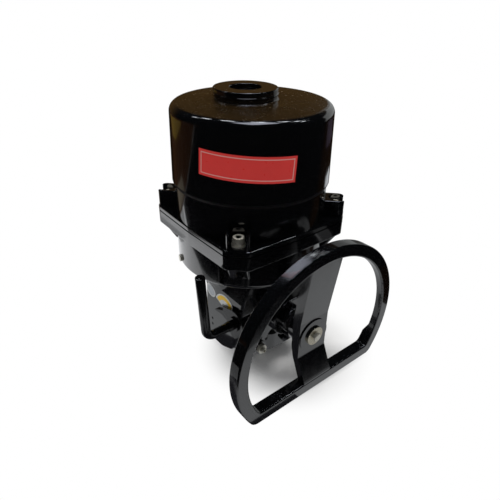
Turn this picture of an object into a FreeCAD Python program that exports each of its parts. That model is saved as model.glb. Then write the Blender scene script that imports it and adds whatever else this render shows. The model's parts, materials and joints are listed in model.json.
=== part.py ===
"""Motorized quarter-turn valve actuator: a round cast cover on a flanged gear housing, with a dished
D-shaped handwheel in front and a declutch lever on the left.

Frame: origin at the centre of the mounting face, on the output axis. +Z up, the handwheel faces -Y,
the lever is on the -X side. Millimetres.
"""
import FreeCAD
import Part

import math
import os

from FreeCAD import Vector

# ---------------------------------------------------------------- driving dimensions
# heights above the mounting face
SEAM_Z = 186.5            # top of the body flange
COVER_TOP_Z = 320.0       # edge of the cover's top
CROWN_H, CROWN_R = 2.2, 48.0            # rise of that top towards its middle, and where it ends
BELT_Z = 235.0            # step round the drum, where the upper shell overhangs the skirt
BODY_FLANGE_H = 16.0
BOWL_BOTTOM_Z = 131.0     # underside of the round upper body
GASKET_T = 1.6

# round forms about the output axis
DRUM_R = 90.0             # at the top edge
BELT_R = 91.5
SKIRT_R = 89.3
DRUM_EDGE_R = 9.3
COVER_WALL = 4.0
FLANGE_R = 90.0
BOWL_R = 90.0
BOWL_EDGE_R = 6.0
BOWL_WALL = 6.0
BASE_R = 46.0
BASE_H = 14.0
BASE_JOINT_Z = 26.0       # flat joint between base flange and gear case

# corner lugs of both flanges, on the diagonals
LUG_REACH = 112.0
LUG_HALF = 13.0
LUG_TOP_Z = 212.5
LUG_CORNER_R = 7.0         # vertical corners of the bolt towers
FLANGE_CORNER_R = 9.0
LIP_T = 6.0               # thickness of the cover's flange
BOLT_R = 102.0            # distance of a cover bolt from the axis
POCKET_R = 9.0
POCKET_FLOOR_Z = 197.0

# window boss on the cover
WINDOW_X, WINDOW_Y = -6.0, 4.0
WINDOW_R = 35.2
WINDOW_TOP_Z = 334.3
SIGHT_R = 17.2
GLASS_R = 24.0

# handwheel
SHAFT_Z = 73.5
SHAFT_R = 9.0
WHEEL_R = 122.6
RIM_W = 14.9
RIM_FRONT_Y = -137.7
RIM_DEPTH = 15.4
WHEEL_FLAT_Z = 0.6        # underside of the straight bar
SPOKE_HALF = 22.2
SPOKE_T = 12.0
HUB_FRONT_Y = -122.6      # front of the flat hub plate, level with the back of the rim
HUB_FLAT_HALF = 24.0

# gears
WORM_X = 36.0             # worm axis, parallel to the handwheel shaft
WORM_PITCH_R = 9.0
WORM_SHAFT_R = 7.0
WORM_WHEEL_TEETH = 56
HAND_TEETH = 18           # pinion and gear of the hand drive have equal teeth
HAND_MODULE = 2.0
HAND_Y0, HAND_Y1 = -70.0, -60.0        # faces of the hand gears
CHEST_R, CHEST_Y = 25.0, -74.0         # oval block round them and its front
COVER_Y0, COVER_Y1 = -82.0, -74.2      # plate of the gear cover
NOSE_R, NOSE_Y = 17.0, -90.0           # its nose round the handwheel shaft
WORM_FRONT_Y, WORM_BACK_Y = -79.0, 37.0
WHEEL_BEARING_R = 15.0
WORM_BEARING_R = 13.0
SEAL_R = 13.5

# output train
SLEEVE_R = 19.0
SLEEVE_TOP_Z = 111.5
BUSH_R = 23.0
INSERT_R = 15.0           # exchangeable insert inside the sleeve
WHEEL_ROOM_R = 31.0
WHEEL_ROOM_TOP_Z = 100.0
INDICATOR_R = 6.0
CAM_Z, CAM_PITCH = 214.0, 9.0
DIAL_Z = 306.0

# declutch lever, turning about a line parallel to X
LEVER_Y, LEVER_Z = -50.0, 72.0
PAD_X = -57.0             # flat left face of the gear case
PAD_BACK_Y = 19.0
ROD_R = 4.5
ROD_X = -102.5
ROD_TOP_Z = 158.5
HUB_T = 4.2               # thickness of the lever hub plate

CLUTCH_THROW = 5.5        # offset of the clutch pin from the lever's axis
CLUTCH_PIN_ANGLE = 67.5   # its place round that axis, from +Y towards +Z

RUNNING = 0.05            # radial clearance of a shaft in its bore

# motor train
MOTOR_X, MOTOR_Y, MOTOR_R = 34.0, 31.0, 28.0
DRIVE_X, DRIVE_Y = WORM_X, -27.0
PLATE_Z0, PLATE_Z1 = 192.0, 195.0

# outside fittings
FOOT_Y = -53.0            # front of the foot
STOP_X, STOP_Z = 20.5, 12.5
STOP_BOSS_Y = -52.5
STOP_R = 4.0
STOP_END_Y = -31.0
CASE_SCREW_R = 54.0       # distance of the screws through the bowl floor from the axis
BASE_SCREW_R = 40.0       # and of those through the base flange
CONDUIT_ANGLES = (22.0, 68.0)
CONDUIT_Z = 154.5
CONDUIT_FACE = 94.0       # distance of the conduit bosses' faces from the axis
EARTH_ANGLE, EARTH_Z = 165.0, 140.0

# mounting, ISO 5211 F07
MOUNT_PCD = 70.0
MOUNT_HOLE_R = 3.4        # tapping size of M8
MOUNT_HOLE_DEPTH = 16.0
STEM_R = 11.0
STEM_DEPTH = 42.0

DIAGONALS = (45.0, 135.0, 225.0, 315.0)
QUARTERS = (0.0, 90.0, 180.0, 270.0)
X_AXIS, Y_AXIS, Z_AXIS = Vector(1, 0, 0), Vector(0, 1, 0), Vector(0, 0, 1)
ORIGIN = Vector(0, 0, 0)


# ---------------------------------------------------------------- helpers
def cyl(r, start, end):
    """Cylinder of radius r from point start to point end."""
    a, b = Vector(*start), Vector(*end)
    return Part.makeCylinder(r, (b - a).Length, a, b - a)


def cone(r1, r2, start, end):
    a, b = Vector(*start), Vector(*end)
    return Part.makeCone(r1, r2, (b - a).Length, a, b - a)


def zcyl(r, z0, z1, x=0.0, y=0.0):
    return cyl(r, (x, y, z0), (x, y, z1))


def ycyl(r, y0, y1, x=0.0, z=SHAFT_Z):
    return cyl(r, (x, y0, z), (x, y1, z))


def ring(outer, inner, z0, z1, x=0.0, y=0.0):
    return zcyl(outer, z0, z1, x, y).cut(zcyl(inner, z0 - 1, z1 + 1, x, y))


def yring(outer, inner, y0, y1, x=0.0, z=SHAFT_Z):
    return ycyl(outer, y0, y1, x, z).cut(ycyl(inner, y0 - 1, y1 + 1, x, z))


def box(x0, x1, y0, y1, z0, z1):
    return Part.makeBox(x1 - x0, y1 - y0, z1 - z0, Vector(x0, y0, z0))


def wire(start, *steps):
    """Closed wire: a step of one point is a line to it, a step of two is an arc through the first."""
    edges, here = [], start
    for step in steps + ((start,),):
        there = step[-1]
        if here.distanceToPoint(there) < 1e-6:
            continue
        if len(step) == 1:
            edges.append(Part.LineSegment(here, there).toShape())
        else:
            edges.append(Part.Arc(here, step[0], there).toShape())
        here = there
    return Part.Wire(edges)


def rz(*points):
    """Points given as (r, z) pairs, in the XZ plane."""
    return tuple(Vector(r, 0, z) for r, z in points)


def lathe(start, *steps):
    """Solid of revolution about Z; start and steps are (r, z) pairs, an arc being a pair of pairs."""
    outline = wire(rz(start)[0], *(rz(*s) if isinstance(s[0], tuple) else rz(s) for s in steps))
    return Part.Face(outline).revolve(ORIGIN, Z_AXIS, 360)


def prism(points, along):
    """Straight prism on a polygon of 3-D points."""
    return Part.Face(Part.makePolygon([Vector(*p) for p in points + points[:1]])).extrude(Vector(*along))


def turned(shape, degrees, axis=Z_AXIS, centre=ORIGIN):
    out = shape.copy()
    out.rotate(centre, axis, degrees)
    return out


def moved(shape, x=0.0, y=0.0, z=0.0):
    out = shape.copy()
    out.translate(Vector(x, y, z))
    return out


def fused(shapes):
    shapes = list(shapes)
    return shapes[0].multiFuse(shapes[1:]).removeSplitter() if len(shapes) > 1 else shapes[0]


def rounded(shape, radius, wanted):
    """Fillet of the edges that wanted(edge) picks."""
    edges = [e for e in shape.Edges if wanted(e)]
    return shape.makeFillet(radius, edges) if edges else shape


def is_vertical(edge):
    if edge.Curve.TypeId != "Part::GeomLine":
        return False
    return abs(abs(edge.Curve.Direction.z) - 1) < 1e-6


def polar(r, degrees, z=0.0):
    a = math.radians(degrees)
    return Vector(r * math.cos(a), r * math.sin(a), z)


def save(name, *solids):
    """One node: its separate closed solids in one STEP file."""
    out = []
    for shape in solids:
        out.extend(shape.Solids)
    for solid in out:
        if not solid.isValid() or solid.Volume <= 0:
            print("BAD SOLID in", name)
    result = out[0] if len(out) == 1 else Part.makeCompound(out)
    result.exportStep("parts/" + name + ".step")
    box_ = result.BoundBox
    print("%-24s %2d solid(s) %10.0f mm3  x %7.1f %7.1f  y %7.1f %7.1f  z %7.1f %7.1f" % (
        name, len(out), sum(s.Volume for s in out), box_.XMin, box_.XMax, box_.YMin, box_.YMax,
        box_.ZMin, box_.ZMax))


# ---------------------------------------------------------------- flanges and cover
def flange_outline(z, shrink=0.0):
    """Round flange drawn out to the four corner lugs by lines tangent to the circle."""
    r, reach, half = FLANGE_R - shrink, LUG_REACH - shrink, LUG_HALF - shrink
    corner = math.hypot(reach, half)
    spread = math.degrees(math.atan2(half, reach))
    tangent = spread + math.degrees(math.acos(r / corner))
    edges = []
    for a in DIAGONALS:
        points = [polar(r, a - tangent, z), polar(corner, a - spread, z),
                  polar(corner, a + spread, z), polar(r, a + tangent, z)]
        edges += [Part.LineSegment(p, q).toShape() for p, q in zip(points, points[1:])]
        edges.append(Part.Arc(points[3], polar(r, a + 45, z), polar(r, a + 90 - tangent, z)).toShape())
    return Part.Face(Part.Wire(edges))


def flange_plate(z0, z1, shrink=0.0):
    plate = flange_outline(z0, shrink).extrude(Vector(0, 0, z1 - z0))
    reach = LUG_REACH - shrink

    def at_lug_corner(edge):
        p = edge.Vertexes[0].Point
        return is_vertical(edge) and math.hypot(p.x, p.y) > reach - 1
    return rounded(plate, FLANGE_CORNER_R - shrink, at_lug_corner)


def on_diagonals(shape):
    """Copies of a shape built on +X, turned to the four lugs."""
    return [turned(shape, a) for a in DIAGONALS]


def at_quarters(shape):
    return [turned(shape, a) for a in QUARTERS]


def lug_tower():
    """Tall corner block of the cover, on +X, before its bolt pocket is cut."""
    block = box(DRUM_R - 12, LUG_REACH, -LUG_HALF, LUG_HALF, SEAM_Z + GASKET_T, LUG_TOP_Z)

    def outer_edge(edge):
        return is_vertical(edge) and edge.Vertexes[0].Point.x > LUG_REACH - 1

    def top_edge(edge):
        return edge.BoundBox.ZMin > LUG_TOP_Z - 0.1 and edge.BoundBox.XMax > DRUM_R
    block = rounded(block, LUG_CORNER_R, outer_edge)
    return rounded(block, 1.6, top_edge)


def bolt_pocket():
    """Channel for a bolt head, open outwards and upwards, with the clearance hole under it, on +X."""
    channel = zcyl(POCKET_R, POCKET_FLOOR_Z, LUG_TOP_Z + 5, BOLT_R)
    mouth = box(BOLT_R, LUG_REACH + 5, -POCKET_R, POCKET_R, POCKET_FLOOR_Z, LUG_TOP_Z + 5)
    return fused([channel, mouth, zcyl(4.5, SEAM_Z - 5, POCKET_FLOOR_Z + 1, BOLT_R)])


def top_cover():
    bottom = SEAM_Z + GASKET_T
    edge = DRUM_EDGE_R
    bend = edge * (1 - math.sqrt(0.5))
    shell = lathe(
        (0, bottom), (SKIRT_R, bottom), (SKIRT_R, BELT_Z - 2.4), (BELT_R, BELT_Z),
        (DRUM_R, COVER_TOP_Z - edge),
        ((DRUM_R - bend, COVER_TOP_Z - bend), (DRUM_R - edge, COVER_TOP_Z)),
        (CROWN_R, COVER_TOP_Z + CROWN_H), (0, COVER_TOP_Z + CROWN_H))
    inner_r, inner_edge = SKIRT_R - COVER_WALL, 6.0
    inner_top = COVER_TOP_Z - 4.5
    fold = inner_edge * (1 - math.sqrt(0.5))
    hollow = lathe(
        (0, bottom - 1), (inner_r, bottom - 1), (inner_r, inner_top - inner_edge),
        ((inner_r - fold, inner_top - fold), (inner_r - inner_edge, inner_top)), (0, inner_top))
    lip = flange_plate(bottom, bottom + LIP_T)
    lip = rounded(lip, 2.0, lambda e: e.BoundBox.ZMin > bottom + LIP_T - 0.1)
    foot = COVER_TOP_Z + CROWN_H
    boss = moved(lathe(
        (0, foot - 4), (WINDOW_R + 2, foot - 4), (WINDOW_R + 2, foot),
        ((WINDOW_R + 0.6, foot + 0.6), (WINDOW_R, foot + 2)),
        (WINDOW_R, WINDOW_TOP_Z - 7.6), (WINDOW_R - 1.8, WINDOW_TOP_Z - 7.6),
        (WINDOW_R - 1.8, WINDOW_TOP_Z - 6.2), (0, WINDOW_TOP_Z - 6.2)), WINDOW_X, WINDOW_Y)
    cover = fused([shell, lip, boss] + on_diagonals(lug_tower()))
    sight_hole = zcyl(GLASS_R - 4, 300, WINDOW_TOP_Z, WINDOW_X, WINDOW_Y)
    glass_seat = zcyl(GLASS_R + 0.2, COVER_TOP_Z + 1, WINDOW_TOP_Z, WINDOW_X, WINDOW_Y)
    cuts = [hollow, sight_hole, glass_seat] + on_diagonals(bolt_pocket())
    return cover.cut(cuts)


def window_ring():
    """Bezel that clamps the glass: the upper tier of the window boss."""
    z0, z1 = WINDOW_TOP_Z - 6.2, WINDOW_TOP_Z
    bezel = lathe(
        (SIGHT_R, z0), (WINDOW_R - 0.4, z0), (WINDOW_R, z0 + 0.4), (WINDOW_R, z1 - 1.2),
        ((WINDOW_R - 0.35, z1 - 0.35), (WINDOW_R - 1.2, z1)),
        (SIGHT_R + 1.0, z1), ((SIGHT_R + 0.3, z1 - 0.3), (SIGHT_R, z1 - 1.0)))
    return moved(bezel, WINDOW_X, WINDOW_Y)


def window_glass():
    return zcyl(GLASS_R, COVER_TOP_Z + 2.6, WINDOW_TOP_Z - 6.3, WINDOW_X, WINDOW_Y)


def window_seal():
    return ring(GLASS_R, GLASS_R - 3.6, COVER_TOP_Z + 1, COVER_TOP_Z + 2.6, WINDOW_X, WINDOW_Y)


def cover_gasket():
    gasket = flange_plate(SEAM_Z, SEAM_Z + GASKET_T, shrink=1.8)
    holes = on_diagonals(zcyl(4.6, SEAM_Z - 1, SEAM_Z + 5, BOLT_R))
    return gasket.cut([zcyl(SKIRT_R - COVER_WALL, SEAM_Z - 1, SEAM_Z + 5)] + holes)


def cap_screw(head_r, head_h, shank_r, length, socket_r):
    """Hexagon socket cap screw standing on z = 0, its shank pointing down."""
    head = zcyl(head_r, 0, head_h)
    head = rounded(head, 0.6, lambda e: e.BoundBox.ZMin > head_h - 0.1)
    socket = hexagon(socket_r, head_h * 0.45, head_h + 1)
    return head.fuse(zcyl(shank_r, -length, 0.1)).cut(socket)


def hexagon(corner_r, z0, z1):
    points = [tuple(polar(corner_r, 60 * i, z0)) for i in range(6)]
    return prism(points, (0, 0, z1 - z0))


def cover_bolts():
    bolt = moved(cap_screw(6.5, 8.0, 4.0, 25.0, 3.4), BOLT_R, 0, POCKET_FLOOR_Z + 1.6)
    return on_diagonals(bolt)


def cover_washers():
    return on_diagonals(ring(8.0, 4.2, POCKET_FLOOR_Z, POCKET_FLOOR_Z + 1.6, BOLT_R))


# ---------------------------------------------------------------- body casting
def left_pad():
    """Flat boss for the lever: its front edge leans forward as it rises, its face falls back above."""
    top = BOWL_BOTTOM_Z + 2
    back = PAD_BACK_Y
    side = [(0, back, 10), (0, -22, 10), (0, -34, 15), (0, -40, 25), (0, -47.5, 47), (0, -55.4, 81),
            (0, -63, 112), (0, -66, top), (0, back, top)]
    slab = prism(side, (PAD_X, 0, 0))

    def front_or_back_edge(edge):
        return edge.BoundBox.XMax < PAD_X + 0.1 and edge.BoundBox.ZLength > 4
    slab = rounded(slab, 4.0, front_or_back_edge)
    face = [(PAD_X - 1, -90, 0), (PAD_X - 1, -90, 98), (PAD_X + 9.5, -90, top + 1), (0, -90, top + 1),
            (0, -90, 0)]
    return slab.common(prism(face, (0, 120, 0)))


def tapered_case():
    """Tapered case round the output axis."""
    return lathe(
        (0, 0), (BASE_R, 0), (BASE_R, BASE_H), ((BASE_R + 0.6, BASE_H + 3), (BASE_R + 2, BASE_H + 5)),
        (60, 106), ((64, 121), (76, BOWL_BOTTOM_Z)), (76, BOWL_BOTTOM_Z + 4), (0, BOWL_BOTTOM_Z + 4))


def bowl():
    """Round upper body under the flange."""
    z = BOWL_BOTTOM_Z
    edge = BOWL_EDGE_R
    bend = edge * (1 - math.sqrt(0.5))
    return lathe(
        (0, z), (BOWL_R - edge, z), ((BOWL_R - bend, z + bend), (BOWL_R, z + edge)),
        (BOWL_R, SEAM_Z - 2), (0, SEAM_Z - 2))


def lug_gusset():
    """Wedge that carries a body lug down into the bowl, on +X."""
    z = SEAM_Z - BODY_FLANGE_H + 1
    half = LUG_HALF - 1
    wedge = prism([(70, -half, z), (LUG_REACH - 1.5, -half, z), (BOWL_R + 4, -half, z - 22),
                   (70, -half, z - 26)], (0, 2 * half, 0))
    return rounded(wedge, 3.0, lambda e: e.BoundBox.YLength < 0.1 and e.BoundBox.XMax > LUG_REACH - 2)


def hand_gear_chest(y0, y1, grow=0.0):
    """Oval block round the handwheel shaft and the worm shaft."""
    r = CHEST_R + grow
    return fused([ycyl(r, y0, y1), ycyl(r, y0, y1, WORM_X), box(0, WORM_X, y0, y1, SHAFT_Z - r, SHAFT_Z + r)])


def body_outside():
    flange = flange_plate(SEAM_Z - BODY_FLANGE_H, SEAM_Z)
    flange = rounded(flange, 1.5, lambda e: e.BoundBox.ZMax < SEAM_Z - BODY_FLANGE_H + 0.1)
    foot = box(-8, 46, FOOT_Y, 0, 0, 26)
    foot = rounded(foot, 13.0, lambda e: is_vertical(e) and e.Vertexes[0].Point.y < FOOT_Y + 1)
    foot = rounded(foot, 2.0, lambda e: e.BoundBox.ZMin > 25.9)
    front = box(-24, 24, -46, 0, 20, SHAFT_Z)
    worm_tunnel = fused([ycyl(20, -60, 48, WORM_X), box(0, WORM_X + 4, -50, 40, SHAFT_Z - 20, SHAFT_Z + 20)])
    stop_bosses = [ycyl(9.5, STOP_BOSS_Y, -20, x, STOP_Z) for x in (-STOP_X, STOP_X)]
    conduits = [turned(cyl(15, (60, 0, CONDUIT_Z), (CONDUIT_FACE, 0, CONDUIT_Z)), a) for a in CONDUIT_ANGLES]
    parts = [flange, bowl(), tapered_case(), left_pad(), foot, front, worm_tunnel,
             hand_gear_chest(CHEST_Y, -46)]
    return fused(parts + on_diagonals(lug_gusset()) + stop_bosses + conduits)


def body_cavities():
    """What is hollow inside the casting."""
    floor = BOWL_BOTTOM_Z + BOWL_WALL
    inner = BOWL_R - BOWL_WALL
    electrics = lathe(
        (0, floor), (inner - 6, floor), ((inner - 1.8, floor + 1.8), (inner, floor + 6)),
        (inner, SEAM_Z + 1), (0, SEAM_Z + 1))
    sleeve_bore = zcyl(BUSH_R, -1, SLEEVE_TOP_Z + 0.5)
    wheel_room = zcyl(WHEEL_ROOM_R, BASE_JOINT_Z, WHEEL_ROOM_TOP_Z)
    column = zcyl(14, SLEEVE_TOP_Z, floor + 1)
    worm_bore = ycyl(WORM_BEARING_R, HAND_Y1, 50, WORM_X)
    clutch_room = ycyl(15.5, -60, -20, WORM_X)
    chest = hand_gear_chest(CHEST_Y - 1, HAND_Y1 + 1.5, grow=-4.5)
    drive_hole = zcyl(12, SHAFT_Z, floor + 1, DRIVE_X, DRIVE_Y)
    lever_bore = cyl(8.0, (PAD_X - 1, LEVER_Y, LEVER_Z), (-32, LEVER_Y, LEVER_Z))
    lever_room = cyl(6.5, (-33, LEVER_Y, LEVER_Z), (17, LEVER_Y, LEVER_Z))
    crank_room = cyl(7.8, (16, LEVER_Y, LEVER_Z), (30, LEVER_Y, LEVER_Z))
    stop_taps = [ycyl(STOP_R, -56, STOP_END_Y + 0.5, x, STOP_Z) for x in (-STOP_X, STOP_X)]
    conduit_taps = [turned(cyl(9, (70, 0, CONDUIT_Z), (95, 0, CONDUIT_Z)), a) for a in CONDUIT_ANGLES]
    cover_screws = [ycyl(2.4, CHEST_Y - 4, CHEST_Y + 6, x, z) for x, z in gear_cover_screw_places()]
    earth_tap = moved(turned(cyl(2.4, (BOWL_R - 8, 0, 0), (BOWL_R + 3, 0, 0)), EARTH_ANGLE), 0, 0, EARTH_Z)
    return [electrics, sleeve_bore, wheel_room, column, worm_bore, clutch_room, chest,
            drive_hole, lever_bore, lever_room, crank_room, earth_tap] + stop_taps + conduit_taps + cover_screws


def parted_casting():
    """The casting parted at its two flat joints: body with bowl and flange, gear case, base flange."""
    mount_holes = on_diagonals(zcyl(MOUNT_HOLE_R, -1, MOUNT_HOLE_DEPTH, MOUNT_PCD / 2))
    taps = on_diagonals(zcyl(4.0, SEAM_Z - 18, SEAM_Z + 1, BOLT_R))
    clip_holes = [cyl(1.8, (PAD_X - 1, 5.0, z), (PAD_X + 7, 5.0, z)) for z in (34.0, 43.5)]
    case_taps = at_quarters(zcyl(4.0, BOWL_BOTTOM_Z - 16, BOWL_BOTTOM_Z + BOWL_WALL + 1, CASE_SCREW_R))
    base_taps = at_quarters(zcyl(2.5, -1, BASE_JOINT_Z + 13, BASE_SCREW_R))
    base_seats = at_quarters(zcyl(4.6, -1, 6.0, BASE_SCREW_R))
    whole = body_outside().cut(body_cavities() + mount_holes + taps + clip_holes + case_taps + base_taps
                               + base_seats)
    levels = (-1, BASE_JOINT_Z, BOWL_BOTTOM_Z, COVER_TOP_Z)
    base, case, body = [whole.common(box(-150, 150, -150, 150, z0, z1)) for z0, z1 in zip(levels, levels[1:])]
    return body, case, base


def case_screws():
    """Screws down through the bowl floor into the gear case."""
    floor = BOWL_BOTTOM_Z + BOWL_WALL
    return at_quarters(moved(cap_screw(6.5, 8.0, 3.95, 20.0, 3.4), CASE_SCREW_R, 0, floor))


def base_screws():
    """Sunk screws up through the base flange into the gear case."""
    screw = turned(cap_screw(4.2, 5.0, 2.45, 31.0, 2.3), 180, X_AXIS)
    return at_quarters(moved(screw, BASE_SCREW_R, 0, 6.0))


# ---------------------------------------------------------------- handwheel
def d_outline(radius, flat_z, y, corner_r):
    """D-shaped face in a plane of constant y: an arc closed by a straight bar, with rounded corners."""
    half = math.sqrt(radius ** 2 - (SHAFT_Z - flat_z) ** 2)
    low = Vector(-half, y, flat_z)
    high = Vector(half, y, flat_z)
    arc = Part.Arc(low, Vector(0, y, SHAFT_Z + radius), high).toShape()
    plate = Part.Face(Part.Wire([arc, Part.LineSegment(high, low).toShape()])).extrude(
        Vector(0, RIM_DEPTH, 0))
    return rounded(plate, corner_r, lambda e: e.Curve.TypeId == "Part::GeomLine"
                   and abs(abs(e.Curve.Direction.y) - 1) < 1e-6)


def spoke_bar():
    """Flat bar through the hub, set back at the hub and leaning forward to the rim and to the bar."""
    z_top = SHAFT_Z + WHEEL_R - RIM_W + 3
    z_bottom = WHEEL_FLAT_Z + RIM_W - 3
    front_top = RIM_FRONT_Y + 3.4
    front_low = RIM_FRONT_Y + 0.6
    upper, lower = SHAFT_Z + HUB_FLAT_HALF, SHAFT_Z - HUB_FLAT_HALF - 1
    foot_t = 9.0
    foot_z = WHEEL_FLAT_Z + RIM_W + 1.5
    side = [(-SPOKE_HALF, front_top, z_top), (-SPOKE_HALF, HUB_FRONT_Y, upper),
            (-SPOKE_HALF, HUB_FRONT_Y, lower), (-SPOKE_HALF, front_low, foot_z),
            (-SPOKE_HALF, front_low, z_bottom),
            (-SPOKE_HALF, front_low + foot_t, z_bottom), (-SPOKE_HALF, HUB_FRONT_Y + foot_t, lower - 2),
            (-SPOKE_HALF, HUB_FRONT_Y + SPOKE_T, lower + 12),
            (-SPOKE_HALF, HUB_FRONT_Y + SPOKE_T, upper + 2), (-SPOKE_HALF, front_top + SPOKE_T, z_top)]
    bar = prism(side, (2 * SPOKE_HALF, 0, 0))

    def bend(edge):
        b = edge.BoundBox
        return b.XLength > 40 and z_bottom + 5 < b.ZMin and b.ZMax < z_top - 5
    return rounded(bar, 6.0, bend)


def handwheel():
    outer = d_outline(WHEEL_R, WHEEL_FLAT_Z, RIM_FRONT_Y, 12.0)
    inner = d_outline(WHEEL_R - RIM_W, WHEEL_FLAT_Z + RIM_W, RIM_FRONT_Y, 7.0)
    rim = outer.cut(inner)
    rim = rounded(rim, 2.0, lambda e: e.BoundBox.YLength < 0.01)
    rim = rim.cut(rim_back_slope())
    boss = cone(19.0, 20.5, (0, -100, SHAFT_Z), (0, HUB_FRONT_Y + 4, SHAFT_Z))
    face = ycyl(21.4, HUB_FRONT_Y - 1.5, HUB_FRONT_Y + 4)
    wheel = fused([rim, spoke_bar(), boss, face])
    return wheel.cut(ycyl(SHAFT_R + 0.02, -130, -90))


def rim_back_slope():
    """What is taken off the back of the round part of the rim, deepest at its inner edge."""
    inner, y_full = WHEEL_R - RIM_W, RIM_FRONT_Y + RIM_DEPTH
    y_edge = y_full - 6.0
    outline = Part.makePolygon([Vector(r, y, SHAFT_Z) for r, y in (
        (inner - 5, y_edge), (inner + 1, y_edge), (inner + 11, y_full + 0.1), (inner - 5, y_full + 0.1),
        (inner - 5, y_edge))])
    slope = Part.Face(outline).revolve(Vector(0, 0, SHAFT_Z), Y_AXIS, 360)
    keep = prism([(-150, y_edge - 1, 44), (-150, y_full + 1, 26), (-150, y_full + 1, 220),
                  (-150, y_edge - 1, 220)], (300, 0, 0))
    return slope.common(keep)


def handwheel_shaft():
    journal = ycyl(SHAFT_R, HUB_FRONT_Y - 1.3, -59)
    return journal.cut(ycyl(2.6, HUB_FRONT_Y - 3, HUB_FRONT_Y + 18))


def handwheel_washer():
    return yring(12.0, 3.3, HUB_FRONT_Y - 4.0, HUB_FRONT_Y - 1.5)


def handwheel_screw():
    head = turned(hexagon(5.77, 0, 4.2), 90, X_AXIS)
    head = turned(head, 15, Y_AXIS)
    head = moved(head, 0, HUB_FRONT_Y - 4.0, SHAFT_Z)
    return head.fuse(ycyl(2.5, HUB_FRONT_Y - 4.5, HUB_FRONT_Y + 14))


# ---------------------------------------------------------------- declutch lever
def lever_hub():
    """Hub plate on the lever shaft: long pointer backwards, square ear above it, tongue below."""
    x0 = PAD_X - 0.6

    def plate(points, thick):
        return prism([(x0, LEVER_Y + y, LEVER_Z + z) for y, z in points], (-thick, 0, 0))
    disc = cyl(17.5, (x0, LEVER_Y, LEVER_Z), (x0 - HUB_T, LEVER_Y, LEVER_Z))
    tongue = plate([(15, -9), (9, -19.5), (4, -24), (-2, -24), (-13, -12), (0, 0)], HUB_T)
    pointer = plate([(12, 10), (43, -4.2), (44, -6), (28, -4), (13, -9), (0, 0)], HUB_T - 1.5)
    ear = plate([(0, 0), (24, 2), (24, 12.5), (3, 18.2)], HUB_T)
    solid = fused([disc, tongue, pointer, ear])
    face = [e for e in solid.Edges if e.BoundBox.XMax < x0 - HUB_T + 0.01]
    solid = solid.makeFillet(0.8, face)
    collar = cyl(6.3, (x0 - HUB_T + 1, LEVER_Y, LEVER_Z), (x0 - HUB_T - 11, LEVER_Y, LEVER_Z))
    boss = cyl(9.5, (x0 - HUB_T + 1, LEVER_Y, LEVER_Z), (x0 - HUB_T - 2.5, LEVER_Y, LEVER_Z))
    hole = cyl(5.0, (x0 + 1, LEVER_Y, LEVER_Z), (x0 - HUB_T - 2, LEVER_Y, LEVER_Z))
    socket = cyl(ROD_R, (x0 - HUB_T - 2, LEVER_Y, LEVER_Z), (x0 - HUB_T - 12, LEVER_Y, LEVER_Z))
    return fused([solid, collar, boss]).cut([hole, socket])


def lever_rod():
    """Round bar that leaves the hub sideways and bends up into a grip."""
    start = Vector(PAD_X - 0.6 - HUB_T - 2, LEVER_Y, LEVER_Z)
    elbow = Vector(ROD_X, LEVER_Y, LEVER_Z)
    top = Vector(ROD_X - 5, LEVER_Y + 1, ROD_TOP_Z)
    path = Part.Wire(bent_line(start, elbow, top, 11.0))
    section = Part.Wire([Part.Circle(start, elbow - start, ROD_R).toShape()])
    rod = path.makePipeShell([section], True, False)
    crown = [e for e in rod.Edges if e.BoundBox.ZMin > ROD_TOP_Z - 1]
    return rod.makeFillet(1.2, crown)


def bent_line(start, elbow, end, leg):
    """Two straight edges joined by an arc that begins one leg before the elbow."""
    back, ahead = (start - elbow).normalize(), (end - elbow).normalize()
    half = back.getAngle(ahead) / 2
    inward = (back + ahead).normalize()
    middle = elbow + inward * (leg / math.cos(half) - leg * math.tan(half))
    a, b = elbow + back * leg, elbow + ahead * leg
    return [Part.LineSegment(start, a).toShape(), Part.Arc(a, middle, b).toShape(),
            Part.LineSegment(b, end).toShape()]


def lever_shaft():
    """Cross shaft whose crank pin carries the clutch ring."""
    bar = cyl(5.0, (PAD_X - 0.6 - HUB_T - 2, LEVER_Y, LEVER_Z), (18, LEVER_Y, LEVER_Z))
    web = cyl(7.4, (17, LEVER_Y, LEVER_Z), (19.8, LEVER_Y, LEVER_Z))
    pin_y, pin_z = clutch_pin_place()
    return fused([bar, web, cyl(1.8, (19, pin_y, pin_z), (24.3, pin_y, pin_z))])


def clutch_pin_place():
    a = math.radians(CLUTCH_PIN_ANGLE)
    return LEVER_Y + CLUTCH_THROW * math.cos(a), LEVER_Z + CLUTCH_THROW * math.sin(a)


def lever_bush():
    return cyl(8.0, (PAD_X, LEVER_Y, LEVER_Z), (-32, LEVER_Y, LEVER_Z)).cut(
        cyl(5.04, (PAD_X - 1, LEVER_Y, LEVER_Z), (-31, LEVER_Y, LEVER_Z)))


# ---------------------------------------------------------------- gears
def gear_outline(teeth, module, phase):
    """Points of a spur gear with straight-flanked teeth, one tooth centred on the angle phase."""
    pitch_r = teeth * module / 2
    pitch = 360.0 / teeth
    levels = ((pitch_r - 1.2 * module, -0.28), (pitch_r + 0.85 * module, -0.10),
              (pitch_r + 0.85 * module, 0.10), (pitch_r - 1.2 * module, 0.28))
    return [(r, phase + (i + share) * pitch) for i in range(teeth) for r, share in levels]


def spur_z(teeth, module, z0, z1, x, y, phase=0.0):
    points = [tuple(polar(r, a, z0) + Vector(x, y, 0)) for r, a in gear_outline(teeth, module, phase)]
    return prism(points, (0, 0, z1 - z0))


def spur_y(teeth, module, y0, y1, x, phase=0.0):
    points = []
    for r, a in gear_outline(teeth, module, phase):
        p = polar(r, a)
        points.append((x + p.x, y0, SHAFT_Z + p.y))
    return prism(points, (0, y1 - y0, 0))


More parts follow.
